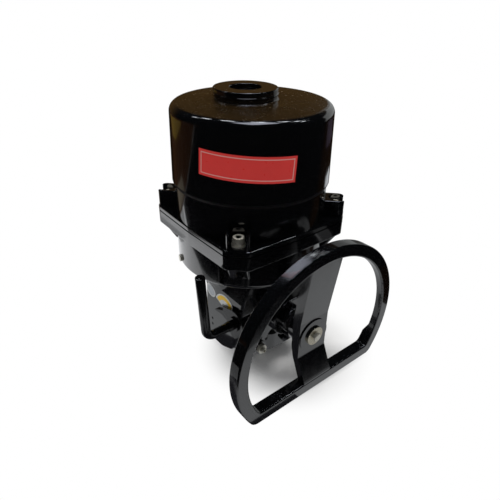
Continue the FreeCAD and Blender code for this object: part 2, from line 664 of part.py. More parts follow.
def meshed_phase(direction, teeth, phase, other_teeth):
    """Phase of the gear that meshes with a gear of this phase, lying from it at the angle direction."""
    into_tooth = (direction - phase) * teeth / 360.0
    return direction + 180 - (0.5 - into_tooth) * 360.0 / other_teeth


def hand_pinion():
    gear = spur_y(HAND_TEETH, HAND_MODULE, HAND_Y0, HAND_Y1, 0)
    return gear.cut(ycyl(SHAFT_R, -80, -50))


def dogs(y0, y1, x, first):
    """Two clutch jaws, each a little under a quarter turn, standing in a ring round the worm axis."""
    jaws = []
    for a in (first, first + 180):
        quarter = yring(11.5, 7.8, y0, y1, x)
        corner = [polar(20, a + d) for d in (-37, 0, 37)]
        points = [(x, y0 - 1, SHAFT_Z)] + [(x + p.x, y0 - 1, SHAFT_Z + p.y) for p in corner]
        jaws.append(quarter.common(prism(points, (0, y1 - y0 + 2, 0))))
    return jaws


def hand_gear():
    """Gear that runs free on the worm shaft until the clutch ring's jaws take it along."""
    phase = meshed_phase(0, HAND_TEETH, 0, HAND_TEETH)
    gear = spur_y(HAND_TEETH, HAND_MODULE, HAND_Y0, HAND_Y1, WORM_X, phase)
    whole = fused([gear] + dogs(HAND_Y1 - 0.2, HAND_Y1 + 2.2, WORM_X, 0))
    return whole.cut(ycyl(WORM_SHAFT_R + RUNNING, -80, -50, WORM_X))


def clutch_ring():
    """Sliding ring: jaws in front for the hand gear, a cone recess behind for the motor gear."""
    pin_y = clutch_pin_place()[0]
    y0, y1 = pin_y - 5.0, pin_y + 5.0
    body = ycyl(14.5, y0, y1, WORM_X).cut(yring(16, 11.4, pin_y - 2.7, pin_y + 2.7, WORM_X))
    recess = cone(8.6, 10.6, (WORM_X, y1 - 2.2, SHAFT_Z), (WORM_X, y1 + 0.01, SHAFT_Z))
    whole = fused([body] + dogs(y0 - 2.0, y0 + 0.2, WORM_X, 90))
    return whole.cut([ycyl(WORM_SHAFT_R + RUNNING, -80, -30, WORM_X), recess])


def worm_shaft():
    """Shaft with the worm as annular ridges at its middle."""
    turns = 10
    lead = 2 * math.pi * (WORM_X - WORM_PITCH_R) / WORM_WHEEL_TEETH
    start = -turns * lead / 2
    root_r, tip_r = WORM_SHAFT_R + 0.4, WORM_PITCH_R + 0.8
    edge = [(0, WORM_FRONT_Y), (WORM_SHAFT_R, WORM_FRONT_Y), (WORM_SHAFT_R, start)]
    for i in range(turns):
        y = start + i * lead
        edge += [(root_r, y + 0.1 * lead), (tip_r, y + 0.38 * lead), (tip_r, y + 0.62 * lead),
                 (root_r, y + 0.9 * lead)]
    edge += [(WORM_SHAFT_R, -start), (WORM_SHAFT_R, WORM_BACK_Y), (0, WORM_BACK_Y)]
    outline = Part.Face(Part.makePolygon([Vector(WORM_X + r, y, SHAFT_Z) for r, y in edge + edge[:1]]))
    return outline.revolve(Vector(WORM_X, 0, SHAFT_Z), Y_AXIS, 360)


def worm_wheel():
    """Bronze wheel with a shallow throat, notched all round."""
    outer, half = WORM_X - WORM_PITCH_R - 1.1, 9.0
    blank = lathe((SLEEVE_R, SHAFT_Z - half), (outer - 1, SHAFT_Z - half), (outer, SHAFT_Z - half + 1),
                  (outer, SHAFT_Z + half - 1), (outer - 1, SHAFT_Z + half), (SLEEVE_R, SHAFT_Z + half))
    notch = box(outer - 1.6, outer + 1, -0.55, 0.55, SHAFT_Z - half - 1, SHAFT_Z + half + 1)
    step = 360.0 / WORM_WHEEL_TEETH
    return blank.cut([turned(notch, i * step) for i in range(WORM_WHEEL_TEETH)])


def bevel(small_r, big_r, thick, teeth):
    """Bevel gear blank standing on z = 0 with its teeth cut as straight slots, wide end down."""
    blank = Part.makeCone(big_r, small_r, thick)
    lean = math.degrees(math.atan2(big_r - small_r, thick))
    slot = box(-1.1, 1.1, -0.55, 0.55, -1, thick + 1.5)
    slot = moved(turned(slot, -lean, Y_AXIS), big_r)
    return blank.cut([turned(slot, i * 360.0 / teeth) for i in range(teeth)])


# ---------------------------------------------------------------- output train
def output_sleeve():
    """Hollow at its foot for the insert, solid above, with a spigot for the indicator shaft."""
    solid_z = STEM_DEPTH + 2
    lower = ring(SLEEVE_R, INSERT_R, 3.0, solid_z)
    return fused([lower, zcyl(SLEEVE_R, solid_z, SLEEVE_TOP_Z), zcyl(12.0, SLEEVE_TOP_Z, SLEEVE_TOP_Z + 6.5)])


def drive_bush():
    """Exchangeable insert with the keyed bore for the valve stem."""
    insert = ring(INSERT_R, STEM_R, 1.0, 1.0 + STEM_DEPTH)
    return insert.cut(box(-3, 3, 0, STEM_R + 2.4, 0, STEM_DEPTH + 2))


def output_bushes():
    bore = SLEEVE_R + RUNNING
    return ring(BUSH_R, bore, 6.5, BASE_JOINT_Z), ring(BUSH_R, bore, WHEEL_ROOM_TOP_Z, SLEEVE_TOP_Z + 0.5)


def output_seal():
    return ring(BUSH_R, SLEEVE_R + RUNNING, 2.0, 6.3)


def indicator_shaft():
    return fused([zcyl(INDICATOR_R, SLEEVE_TOP_Z + 6.5, DIAL_Z - 6), zcyl(4.0, DIAL_Z - 6, DIAL_Z + 5)])


def cam_levels():
    return [CAM_Z + CAM_PITCH * i for i in range(4)]


def travel_cams():
    """Four notched discs, set a quarter turn apart by turns."""
    cams = []
    for i, z in enumerate(cam_levels()):
        cam = ring(11.5, INDICATOR_R, z, z + CAM_PITCH - 2)
        notch = turned(box(8.6, 13, -4, 4, z - 1, z + CAM_PITCH), 40 + 90 * (i % 2))
        cams.append(cam.cut(notch))
    return cams


def indicator_dial():
    """Dial under the window with two raised quarter bars."""
    dial = ring(27.0, 4.0, DIAL_Z, DIAL_Z + 2)
    bars = [box(x, x + 15, -2.2, 2.2, DIAL_Z + 1.9, DIAL_Z + 3.2) for x in (9, -24)]
    return fused([dial] + bars)


# ---------------------------------------------------------------- motor train, above the bowl floor
def motor():
    can = zcyl(MOTOR_R, PLATE_Z1, PLATE_Z1 + 76, MOTOR_X, MOTOR_Y)
    can = rounded(can, 3.0, lambda e: e.BoundBox.ZMin > PLATE_Z1 + 75)
    flange = box(MOTOR_X - 24, MOTOR_X + 24, MOTOR_Y - 24, MOTOR_Y + 24, PLATE_Z1, PLATE_Z1 + 5)
    flange = flange.common(zcyl(MOTOR_R + 2, PLATE_Z1, PLATE_Z1 + 5, MOTOR_X, MOTOR_Y))
    cap = zcyl(9, PLATE_Z1 + 75, PLATE_Z1 + 82, MOTOR_X, MOTOR_Y)
    return fused([can, flange, cap])


def motor_pinion():
    teeth = spur_z(12, 1.0, PLATE_Z0 - 18, PLATE_Z0 - 6, MOTOR_X, MOTOR_Y)
    return fused([teeth, zcyl(3.0, PLATE_Z0 - 7, PLATE_Z1 - 0.3, MOTOR_X, MOTOR_Y)])


def reduction_places():
    """Axis of the middle gear, on the line from the motor to the drive shaft, and that line's angle."""
    dx, dy = DRIVE_X - MOTOR_X, DRIVE_Y - MOTOR_Y
    share = 26.0 / math.hypot(dx, dy)
    return MOTOR_X + share * dx, MOTOR_Y + share * dy, math.degrees(math.atan2(dy, dx))


def reduction_gear():
    x, y, line = reduction_places()
    big = spur_z(40, 1.0, PLATE_Z0 - 16, PLATE_Z0 - 8, x, y, meshed_phase(line, 12, 0, 40))
    small = spur_z(16, 1.0, PLATE_Z0 - 34, PLATE_Z0 - 16, x, y)
    return fused([big, small]).cut(zcyl(3.05, 100, 250, x, y))


def reduction_pin():
    x, y = reduction_places()[:2]
    return zcyl(3.0, BOWL_BOTTOM_Z + BOWL_WALL, PLATE_Z0, x, y)


def drive_shaft():
    """Vertical shaft with the last spur gear above and the bevel pinion at its foot."""
    line = reduction_places()[2]
    gear = spur_z(48, 1.0, PLATE_Z0 - 32, PLATE_Z0 - 20, DRIVE_X, DRIVE_Y, meshed_phase(line, 16, 0, 48))
    pinion = moved(turned(bevel(5.7, 9.7, 5.6, 14), 180, X_AXIS), DRIVE_X, DRIVE_Y, SHAFT_Z + 14)
    rod = zcyl(4.5, SHAFT_Z + 13, PLATE_Z0 - 4, DRIVE_X, DRIVE_Y)
    return fused([gear, pinion, rod])


def drive_shaft_bush():
    return ring(12.0, 4.55, BOWL_BOTTOM_Z - 4, BOWL_BOTTOM_Z + BOWL_WALL, DRIVE_X, DRIVE_Y)


def motor_bevel_gear():
    """Bevel gear that the motor turns, running free on the worm shaft."""
    gear = turned(bevel(8.3, 13.7, 4.2, 20), -90, X_AXIS)
    gear = moved(gear, WORM_X, DRIVE_Y - 10, SHAFT_Z)
    tip = cone(8.0, 9.6, (WORM_X, DRIVE_Y - 17.4, SHAFT_Z), (WORM_X, DRIVE_Y - 15.2, SHAFT_Z))
    hub = ycyl(9.6, DRIVE_Y - 15.3, DRIVE_Y - 9.9, WORM_X)
    return fused([gear, tip, hub]).cut(ycyl(WORM_SHAFT_R + RUNNING, -60, -20, WORM_X))


# ---------------------------------------------------------------- bearings, covers and outside fittings
def gear_cover():
    """Front plate over the hand gears, with the nose that carries the handwheel shaft."""
    plate = hand_gear_chest(COVER_Y0, COVER_Y1)
    plate = rounded(plate, 1.5, lambda e: e.BoundBox.YMax < COVER_Y0 + 0.1)
    nose = ycyl(NOSE_R, NOSE_Y, COVER_Y0 + 2)
    nose = rounded(nose, 1.2, lambda e: e.BoundBox.YMax < NOSE_Y + 0.1)
    cover = fused([plate, nose])
    front, back = NOSE_Y - 1, COVER_Y1 + 1
    seats = [ycyl(WHEEL_BEARING_R, NOSE_Y + 5.5, back), ycyl(SHAFT_R + 0.3, front, back),
             ycyl(SEAL_R, front, NOSE_Y + 4.5), ycyl(WORM_BEARING_R, COVER_Y0 + 1.5, back, WORM_X)]
    return cover.cut(seats + [ycyl(2.7, front, back, x, z) for x, z in gear_cover_screw_places()])


def gear_cover_screw_places():
    lift = CHEST_R - 3.7
    return [(x, SHAFT_Z + z) for x in (-4.0, WORM_X) for z in (-lift, lift)]


def gear_cover_screws():
    screw = turned(cap_screw(4.2, 4.6, 2.4, 12.0, 2.3), 90, X_AXIS)
    return [moved(screw, x, COVER_Y0, z) for x, z in gear_cover_screw_places()]


def shaft_bearings():
    """Rings for the handwheel shaft and for both ends of the worm shaft."""
    wheel_bore, worm_bore = SHAFT_R + RUNNING, WORM_SHAFT_R + RUNNING
    return (yring(WHEEL_BEARING_R, wheel_bore, NOSE_Y + 5.6, COVER_Y1 - 0.3),
            yring(WORM_BEARING_R, worm_bore, COVER_Y0 + 1.6, COVER_Y1 - 0.4, WORM_X),
            yring(WORM_BEARING_R, worm_bore, WORM_BACK_Y - 8, WORM_BACK_Y - 1, WORM_X))


def shaft_seal():
    return yring(SEAL_R, SHAFT_R + RUNNING, NOSE_Y, NOSE_Y + 4.4)


def worm_plug():
    plug = ycyl(WORM_BEARING_R, WORM_BACK_Y + 1, WORM_BACK_Y + 10, WORM_X)
    socket = moved(turned(hexagon(5.8, 0, 6), -90, X_AXIS), WORM_X, WORM_BACK_Y + 6, SHAFT_Z)
    return plug.cut(socket)


def stop_screw(x, front_y):
    """Socket set screw pointing into the case."""
    socket = moved(turned(hexagon(2.4, 0, 5), -90, X_AXIS), x, front_y - 1, STOP_Z)
    return ycyl(STOP_R, front_y, STOP_END_Y, x, STOP_Z).cut(socket)


def stop_nut(x, y):
    """Lock nut standing on the face at y, its outer corners chamfered."""
    thick = 4.8
    nut = moved(turned(hexagon(7.4, 0, thick), 90, X_AXIS), x, y, STOP_Z)
    front, waist = (x, y - thick, STOP_Z), (x, y - 2.0, STOP_Z)
    nut = nut.common(cone(6.6, 9.4, front, waist).fuse(cyl(9.4, waist, (x, y, STOP_Z))))
    return nut.cut(ycyl(STOP_R, y - thick - 1, y + 1, x, STOP_Z))


def conduit_plugs():
    face, z = CONDUIT_FACE, CONDUIT_Z
    plug = fused([cyl(11.0, (face, 0, z), (face + 4, 0, z)), cyl(9.0, (face - 10, 0, z), (face + 1, 0, z))])
    socket = moved(turned(hexagon(5.0, 0, 5), 90, Y_AXIS), face + 1, 0, z)
    return [turned(plug.cut(socket), a) for a in CONDUIT_ANGLES]


def earth_screw():
    head = cyl(4.2, (BOWL_R, 0, 0), (BOWL_R + 2.5, 0, 0))
    screw = fused([head, cyl(2.4, (BOWL_R - 7.5, 0, 0), (BOWL_R + 1, 0, 0))])
    return moved(turned(screw, EARTH_ANGLE), 0, 0, EARTH_Z)


# ---------------------------------------------------------------- electrical parts on the mounting plate
def mounting_plate():
    plate = zcyl(78, PLATE_Z0, PLATE_Z1)
    cuts = [zcyl(14, PLATE_Z0 - 1, PLATE_Z1 + 1), zcyl(8, PLATE_Z0 - 1, PLATE_Z1 + 1, MOTOR_X, MOTOR_Y)]
    return plate.cut(cuts)


def plate_posts():
    return at_quarters(zcyl(5, BOWL_BOTTOM_Z + BOWL_WALL, PLATE_Z0, 71))


def switch_bracket():
    foot = box(-44, -16, -14, 14, PLATE_Z1, PLATE_Z1 + 2)
    wall = box(-44, -42, -14, 14, PLATE_Z1, 252)
    return fused([foot, wall])


def limit_switches():
    """Four snap switches stacked beside the cams."""
    switches = []
    for z in cam_levels():
        case = box(-41.8, -21, -7, 13, z, z + CAM_PITCH - 2.5)
        roller = box(-21.2, -12.4, 9.5, 12.5, z + 2, z + 4.5)
        switches.append(case.fuse(roller))
    return switches


def terminal_block():
    rail = box(-64, -48, -32, 32, PLATE_Z1, PLATE_Z1 + 12)
    wells = [box(-60, -52, y, y + 5, PLATE_Z1 + 5, PLATE_Z1 + 13) for y in range(-29, 28, 8)]
    return rail.cut(wells)


def capacitor():
    return zcyl(15, PLATE_Z1, PLATE_Z1 + 58, -12, -46)


def heater():
    body = box(20, 52, -62, -40, PLATE_Z1, PLATE_Z1 + 12)
    return rounded(body, 2.0, is_vertical)


# ---------------------------------------------------------------- build
def main():
    os.makedirs("parts", exist_ok=True)
    body, case, base = parted_casting()
    save("body_housing", body)
    save("gear_case", case)
    save("base_flange", base)
    save("case_screws", *case_screws())
    save("base_screws", *base_screws())
    save("top_cover", top_cover())
    save("cover_gasket", cover_gasket())
    save("cover_bolts", *cover_bolts())
    save("cover_washers", *cover_washers())
    save("window_ring", window_ring())
    save("window_glass", window_glass())
    save("window_seal", window_seal())

    save("handwheel", handwheel())
    save("handwheel_washer", handwheel_washer())
    save("handwheel_screw", handwheel_screw())
    save("handwheel_shaft", handwheel_shaft())
    save("hand_pinion", hand_pinion())
    save("hand_gear", hand_gear())
    save("clutch_ring", clutch_ring())
    save("worm_shaft", worm_shaft())

    save("lever_hub", lever_hub())
    save("lever_rod", lever_rod())
    save("lever_shaft", lever_shaft())
    save("lever_bush", lever_bush())

    save("worm_wheel", worm_wheel())
    save("output_sleeve", output_sleeve())
    save("drive_bush", drive_bush())
    save("output_bushes", *output_bushes())
    save("output_seal", output_seal())
    save("indicator_shaft", indicator_shaft())
    save("travel_cams", *travel_cams())
    save("indicator_dial", indicator_dial())

    save("motor", motor())
    save("motor_pinion", motor_pinion())
    save("reduction_gear", reduction_gear())
    save("reduction_pin", reduction_pin())
    save("drive_shaft", drive_shaft())
    save("drive_shaft_bush", drive_shaft_bush())
    save("motor_bevel_gear", motor_bevel_gear())

    save("gear_cover", gear_cover())
    save("gear_cover_screws", *gear_cover_screws())
    save("shaft_bearings", *shaft_bearings())
    save("shaft_seal", shaft_seal())
    save("worm_plug", worm_plug())
    save("stop_screw_closed", stop_screw(-STOP_X, -61.0))
    save("stop_nut_closed", stop_nut(-STOP_X, STOP_BOSS_Y))
    save("stop_screw_open", stop_screw(STOP_X, -60.5))
    save("stop_nut_open", stop_nut(STOP_X, FOOT_Y))
    save("conduit_plugs", *conduit_plugs())
    save("earth_screw", earth_screw())

    save("mounting_plate", mounting_plate())
    save("plate_posts", *plate_posts())
    save("switch_bracket", switch_bracket())
    save("limit_switches", *limit_switches())
    save("terminal_block", terminal_block())
    save("capacitor", capacitor())
    save("heater", heater())


main()
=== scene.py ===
"""Looks of a motorized valve actuator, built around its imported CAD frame.

Gloss black castings, plated and machined metal, the red panel on the drum, the stickers on the
gear case, threaded and knurled screws, and a plain studio. Metres, in the CAD model's own frame.
"""

import json
import math

import bmesh
import bpy
from bpy.props import FloatProperty, FloatVectorProperty, IntProperty, PointerProperty
from mathutils import Euler, Matrix, Vector


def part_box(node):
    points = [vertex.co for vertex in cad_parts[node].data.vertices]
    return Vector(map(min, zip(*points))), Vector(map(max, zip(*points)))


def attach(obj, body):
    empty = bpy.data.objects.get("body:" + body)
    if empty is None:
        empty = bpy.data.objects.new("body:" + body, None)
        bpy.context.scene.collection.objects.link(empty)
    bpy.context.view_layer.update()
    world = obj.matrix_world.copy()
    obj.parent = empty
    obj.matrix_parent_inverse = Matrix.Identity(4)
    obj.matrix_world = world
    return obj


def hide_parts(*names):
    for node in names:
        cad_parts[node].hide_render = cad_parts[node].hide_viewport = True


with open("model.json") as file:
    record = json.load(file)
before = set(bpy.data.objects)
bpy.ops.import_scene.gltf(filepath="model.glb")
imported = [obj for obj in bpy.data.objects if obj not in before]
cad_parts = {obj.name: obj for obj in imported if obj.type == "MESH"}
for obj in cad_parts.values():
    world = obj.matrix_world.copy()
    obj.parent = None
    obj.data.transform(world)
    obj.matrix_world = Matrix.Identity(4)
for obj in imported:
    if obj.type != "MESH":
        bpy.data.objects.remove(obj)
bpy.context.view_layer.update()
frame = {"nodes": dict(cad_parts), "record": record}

bl_info = {
    "name": "Valve actuator looks",
    "version": (1, 0, 0),
    "blender": (4, 5, 0),
    "location": "View3D > Sidebar > Actuator",
    "description": "Builds the finish and the small fittings of a motorized valve actuator",
    "category": "Object",
}

MOUNTS = {m["name"]: m for m in frame["record"]["mounts"]}
MERGE = 1e-7  # corners closer than this are one


# ---- settings
def colour(name, description, default):
    """A linear colour property."""
    return FloatVectorProperty(name=name, description=description, subtype="COLOR", size=3,
                               min=0.0, max=1.0, default=default)


def length(name, description, default):
    """A length in metres."""
    return FloatProperty(name=name, description=description, default=default, unit="LENGTH")


def angle(name, description, degrees):
    """An angle, given here in degrees."""
    return FloatProperty(name=name, description=description, default=math.radians(degrees),
                         subtype="ANGLE")


def plain(name, description, default):
    """A bare number."""
    return FloatProperty(name=name, description=description, default=default)


def point(name, description, default):
    """A place in metres."""
    return FloatVectorProperty(name=name, description=description, subtype="TRANSLATION",
                               default=default)


class PaintSettings(bpy.types.PropertyGroup):
    """The black paint of the castings."""
    casting: colour("Casting", "Base colour of the painted castings", (0.0012, 0.0013, 0.0016))
    wheel: colour("Handwheel", "Base colour of the handwheel's paint", (0.0014, 0.0016, 0.0020))
    lever: colour("Lever", "Base colour of the lever's paint", (0.0012, 0.0013, 0.0015))
    gloss: plain("Roughness", "Roughness of the gloss paint", 0.13)
    peel: length("Orange peel", "Width of the paint's orange peel", 0.0045)


class ShadeAndSheenSettings(bpy.types.PropertyGroup):
    """Painted shade and sheen on the cover: its step is dulled so that it stays dark as painted
    shade, and its top has a brown painted sheen.
    """
    # In the step the coat is taken off and the paint is made rougher, which keeps the step dark:
    # painted shade.
    step_from: length("Step from", "Where the painted shade in the step starts", 0.2312)
    step_to: length("Step to", "Where the painted shade in the step ends", 0.2366)
    step_loss: plain("Step coat loss", "Share of the clear coat lost in the step", 1.0)
    step_dull: plain("Step roughness", "Roughness added in the step", 0.65)
    # On the top the coat thins and the paint gets rougher, under the brown painted sheen.
    top_from: length("Top from", "Where the painted sheen on the top starts", 0.3195)
    top_to: length("Top to", "Where the painted sheen on the top ends", 0.3235)
    top_loss: plain("Top coat loss", "Share of the clear coat lost on the top", 0.75)
    top_dull: plain("Top roughness", "Roughness added on the top", 0.12)
    # The two browns of the painted sheen on the top.
    light: colour("Light painted sheen", "Lighter brown on the top", (0.0165, 0.0095, 0.0032))
    dark: colour("Dark painted sheen", "Darker brown on the top", (0.0125, 0.0072, 0.0025))


class WheelSettings(bpy.types.PropertyGroup):
    """Rounding of the handwheel's rim, seen in what it mirrors."""
    rim_depth: length("Rim depth", "Depth of the rim along the wheel's axis", 0.0154)
    rim_crown: plain("Rim crown", "Curve of the rim's outer face, per metre", 9.5)
    crown_at: plain("Crown at", "Rim depths from the rim's front to the crown's middle", 1.8)
    rim_share: plain("Rim share", "Rim depths that the crown reaches inwards", 0.7)
    axis_z: length("Axis height", "Height of the wheel's axis", 0.0735)


class LeverSettings(bpy.types.PropertyGroup):
    """The lever's bent bar."""
    bar_r: length("Bar radius", "Radius of the bent bar", 0.0056)
    elbow: point("Elbow", "Where the bar's two straight lines cross", (-0.1016, -0.050, 0.072))
    end: point("Free end", "Middle of the bar's free end", (-0.1064, -0.049, 0.1583))
    bend: length("Bend", "Distance from the elbow at which the bar starts to bend", 0.011)
    chamfer: length("Chamfer", "Chamfer of the free end", 0.0010)


class WindowSettings(bpy.types.PropertyGroup):
    """The rounded lip round the window boss, and the dial under the glass."""
    bead_r: length("Bead radius", "Radius of the lip's rounding", 0.0010)
    stands_out: length("Stands out", "How far the lip stands out of the boss", 0.0005)
    below_top: length("Below top", "Distance of the lip below the top of the ring", 0.0062)
    strokes: IntProperty(name="Strokes", description="Strokes round the dial", default=12, min=2)
    stroke_w: length("Stroke width", "Width of a stroke", 0.0011)
    stroke_z: length("Stroke height", "Height of the strokes above the dial's underside", 0.00205)


class PanelSettings(bpy.types.PropertyGroup):
    """The bare red panel on the drum."""
    width: length("Width", "Length of the panel round the drum", 0.1017)
    height: length("Height", "Height of the panel", 0.0270)
    thickness: length("Thickness", "Thickness of the foil", 0.00035)
    margin: length("Margin", "Red margin outside the pale line", 0.0024)
    line: length("Line", "Width of the pale line", 0.0010)
    middle: angle("Direction", "Direction of the panel's middle from +X", 228.9)
    tilt: angle("Tilt", "How far the panel leans to the right", -2.9)
    centre_z: length("Centre height", "Height of the panel's centre", 0.2746)
    red: colour("Red", "Field of the panel", (0.80, 0.040, 0.034))
    border: colour("Border line", "Line inside the panel's edge", (0.78, 0.36, 0.33))


class StickerSettings(bpy.types.PropertyGroup):
    """The two stickers on the flat left side of the gear case."""
    disc_y: length("Disc Y", "Place of the round sticker", 0.0055)
    disc_z: length("Disc Z", "Height of the round sticker", 0.0895)
    disc_r: length("Disc radius", "Radius of the round sticker", 0.0100)
    arc_y: length("Arc Y", "Centre of the arched sticker", -0.0240)
    arc_z: length("Arc Z", "Centre height of the arched sticker", 0.0760)
    arc_start: angle("Arc start", "Where the arched sticker begins, from +Y", 22.0)
    arc_sweep: angle("Arc sweep", "How far the arched sticker goes round", 122.0)
    arc_end: angle("Arc end", "White paper at each end of the yellow band", 5.0)
    thickness: length("Thickness", "Thickness of both stickers", 0.00016)
    yellow: colour("Yellow", "Band of the arched sticker", (1.0, 0.62, 0.02))
    white: colour("White", "Paper of the arched sticker", (0.72, 0.74, 0.74))
    grey: colour("Pale grey", "Paper of the round sticker", (0.46, 0.50, 0.54))


class ScrewSettings(bpy.types.PropertyGroup):
    """The screws made anew with knurls, sockets and threads."""
    head_r: length("Head radius", "Radius of a cover screw's head", 0.0065)
    head_h: length("Head height", "Height of that head", 0.0080)
    shank_r: length("Shank radius", "Radius of the cover screws and the stop screws", 0.0040)
    socket: length("Socket", "Width across the corners of a hexagon socket", 0.0068)
    knurls: IntProperty(name="Knurls", description="Ridges round a cap screw's head",
                        default=30, min=8)
    knurl_depth: length("Knurl depth", "Depth of the grooves in a head", 0.00028)
    pitch: length("Thread pitch", "Rise of the stop screws' thread in a turn", 0.00125)
    thread_depth: length("Thread depth", "Depth of that thread", 0.0007)
    wheel_r: length("Wheel screw radius", "Radius of the handwheel screw's shank", 0.0025)
    wheel_edge: length("Wheel screw edge", "Chamfer of the handwheel screw's head", 0.0006)


class StudioSettings(bpy.types.PropertyGroup):
    """Floor, lamps and camera."""
    floor: colour("Floor", "Colour of the floor", (0.86, 0.865, 0.87))
    sky: plain("Ambient strength", "Strength of the even light from all round", 0.36)
    fade_middle: point("Fade middle", "Place on the floor that keeps its shadow",
                       (0.02, -0.055, 0.0))
    fade_near: length("Fade starts", "Distance at which the floor starts to turn white", 0.05)
    fade_far: length("Fade ends", "Distance at which the floor is all white", 0.125)
    lamp_power: FloatProperty(name="Lamp power", description="Power of one soft lamp",
                              default=15.0, unit="POWER")
    lamp_size: length("Lamp size", "Width of one soft lamp", 0.55)
    row_azimuth: angle("Lamp row", "Direction that the row of lamps runs in", -50.0)
    row_offset: length("Row offset", "Distance of the row behind the object's axis", 0.5)
    lamp_height: length("Lamp height", "Height of the ceiling lamps", 1.9)
    camera_place: point("Camera", "Place of the camera", (-0.315746, -0.395251, 0.431840))
    azimuth: angle("Azimuth", "Direction that the camera looks from, 0 being from -Y", -38.7)
    elevation: angle("Elevation", "Height angle of the camera", 30.75)
    roll: angle("Roll", "Turn of the camera about its view", 1.0)
    lens: plain("Lens", "Focal length on a 36 mm sensor, in millimetres", 32.67)


# ---- node helpers
class Shader:
    """A node material under construction: one principled shader, and calls that add nodes."""

    def __init__(self, name):
        self.material = bpy.data.materials.new(name)
        self.material.use_nodes = True
        self.tree = self.material.node_tree
        self.bsdf = self.tree.nodes["Principled BSDF"]
        self.coord = self.add("ShaderNodeTexCoord").outputs["Object"]

    def add(self, kind, **values):
        node = self.tree.nodes.new(kind)
        for key, value in values.items():
            setattr(node, key, value)
        return node

    def feed(self, value, target):
        """Links an output to a socket, or sets a number, vector or colour on it.

        The target is a socket or the name of one on the principled shader.
        """
        socket = self.bsdf.inputs[target] if isinstance(target, str) else target
        if isinstance(value, bpy.types.NodeSocket):
            self.tree.links.new(value, socket)
        elif hasattr(value, "__len__") and len(socket.default_value) == 4:
            socket.default_value = (*value, 1.0)
        else:
            socket.default_value = value

    def set(self, **values):
        """Socket values of the principled shader, with _ for a space in a socket's name."""
        for key, value in values.items():
            self.feed(value, key.replace("_", " "))

    def noise(self, size, detail, stretch=(1.0, 1.0, 1.0)):
        """Noise whose blotches are about size metres wide."""
        mapping = self.add("ShaderNodeMapping")
        self.feed(self.coord, mapping.inputs["Vector"])
        self.feed(Vector(stretch) / size, mapping.inputs["Scale"])
        node = self.add("ShaderNodeTexNoise")
        self.feed(mapping.outputs["Vector"], node.inputs["Vector"])
        self.feed(1.0, node.inputs["Scale"])
        self.feed(detail, node.inputs["Detail"])
        return node.outputs["Fac"]

    def remap(self, source, start, end, low=0.0, high=1.0, kind="SMOOTHSTEP"):
        """Maps start to end of a value onto low to high."""
        node = self.add("ShaderNodeMapRange", interpolation_type=kind)
        for socket, value in zip(node.inputs, (source, start, end, low, high)):
            self.feed(value, socket)
        return node.outputs["Result"]

    def ramp(self, source, low, high):
        """Maps the middle of a noise, 0.3 to 0.7, onto low to high."""
        return self.remap(source, 0.3, 0.7, low, high, "LINEAR")

    def mix(self, factor, first, second):
        node = self.add("ShaderNodeMix", data_type="RGBA")
        for index, value in ((0, factor), (6, first), (7, second)):
            self.feed(value, node.inputs[index])
        return node.outputs[2]

    def maths(self, operation, *values, clamp=False):
        node = self.add("ShaderNodeMath", operation=operation, use_clamp=clamp)
        for socket, value in zip(node.inputs, values):
            self.feed(value, socket)
        return node.outputs[0]

    def from_place(self, operation, vector):
        """Number that a vector operation gives for the shaded place and a vector."""
        node = self.add("ShaderNodeVectorMath", operation=operation)
        self.feed(self.coord, node.inputs[0])
        self.feed(vector, node.inputs[1])
        return node.outputs["Value"]

    def place(self):
        """X, Y and Z of the shaded place."""
        split = self.add("ShaderNodeSeparateXYZ")
        self.feed(self.coord, split.inputs[0])
        return split.outputs[:]

    def bumps(self, *layers):
        """Chained bumps: each layer is (height source, depth in metres)."""
        normal = None
        for source, depth in layers:
            node = self.add("ShaderNodeBump")
            self.feed(1.0, node.inputs["Strength"])
            self.feed(depth, node.inputs["Distance"])
            self.feed(source, node.inputs["Height"])
            if normal:
                self.feed(normal, node.inputs["Normal"])
            normal = node.outputs["Normal"]
        self.feed(normal, "Normal")


def shades(rgb, factor):
    return tuple(min(1.0, c * factor) for c in rgb)


# ---- materials
def gloss_paint(name, rgb, roughness, peel, waviness=0.00003, crown=None, shade_and_sheen=None):
    """Smooth black enamel over a casting: orange peel, slow waviness, a crowned rim, or painted
    shade in the step and a brown painted sheen on the top.
    """
    s = Shader(name)
    s.set(Specular_IOR_Level=1.0, Coat_Weight=1.0, Coat_Roughness=0.04, Coat_IOR=1.6)
    tone = s.mix(s.noise(0.03, 3.0), rgb, shades(rgb, 1.7))
    shine = s.ramp(s.noise(0.012, 4.0), roughness * 0.8, roughness * 1.3)
    # Painted shade in the step and painted sheen on the top of the cover.
    if shade_and_sheen:
        tone, shine = painted_shade_and_sheen(s, tone, shine, shade_and_sheen)
    s.feed(tone, "Base Color")
    s.feed(shine, "Roughness")
    bumps = [(s.noise(0.05, 1.0), waviness * 4), (s.noise(peel, 1.0), waviness * 0.3)]
    if crown:
        bumps.append((crowned_rim(s, crown), 1.0))
    s.bumps(*bumps)
    return s.material


def painted_shade_and_sheen(s, tone, shine, shade_and_sheen):
    """Between two heights in the step and on the top: less coat and more roughness, which keep
    the step dark as painted shade, and a brown painted sheen on the top.
    """
    height = s.place()[2]
    coat = 1.0
    for low, high, loss, dull in (
            (shade_and_sheen.step_from, shade_and_sheen.step_to, shade_and_sheen.step_loss, shade_and_sheen.step_dull),
            (shade_and_sheen.top_from, shade_and_sheen.top_to, shade_and_sheen.top_loss, shade_and_sheen.top_dull)):
        inside = s.maths("COMPARE", height, (low + high) / 2, (high - low) / 2)
        coat = s.maths("MULTIPLY_ADD", inside, -loss, coat)
        shine = s.maths("MULTIPLY_ADD", inside, dull, shine)
    s.feed(coat, "Coat Weight")
    # Brown painted sheen on the top band, which is the last band that inside marks.
    return s.mix(inside, tone, s.mix(s.noise(0.02, 4.0), shade_and_sheen.light, shade_and_sheen.dark)), shine


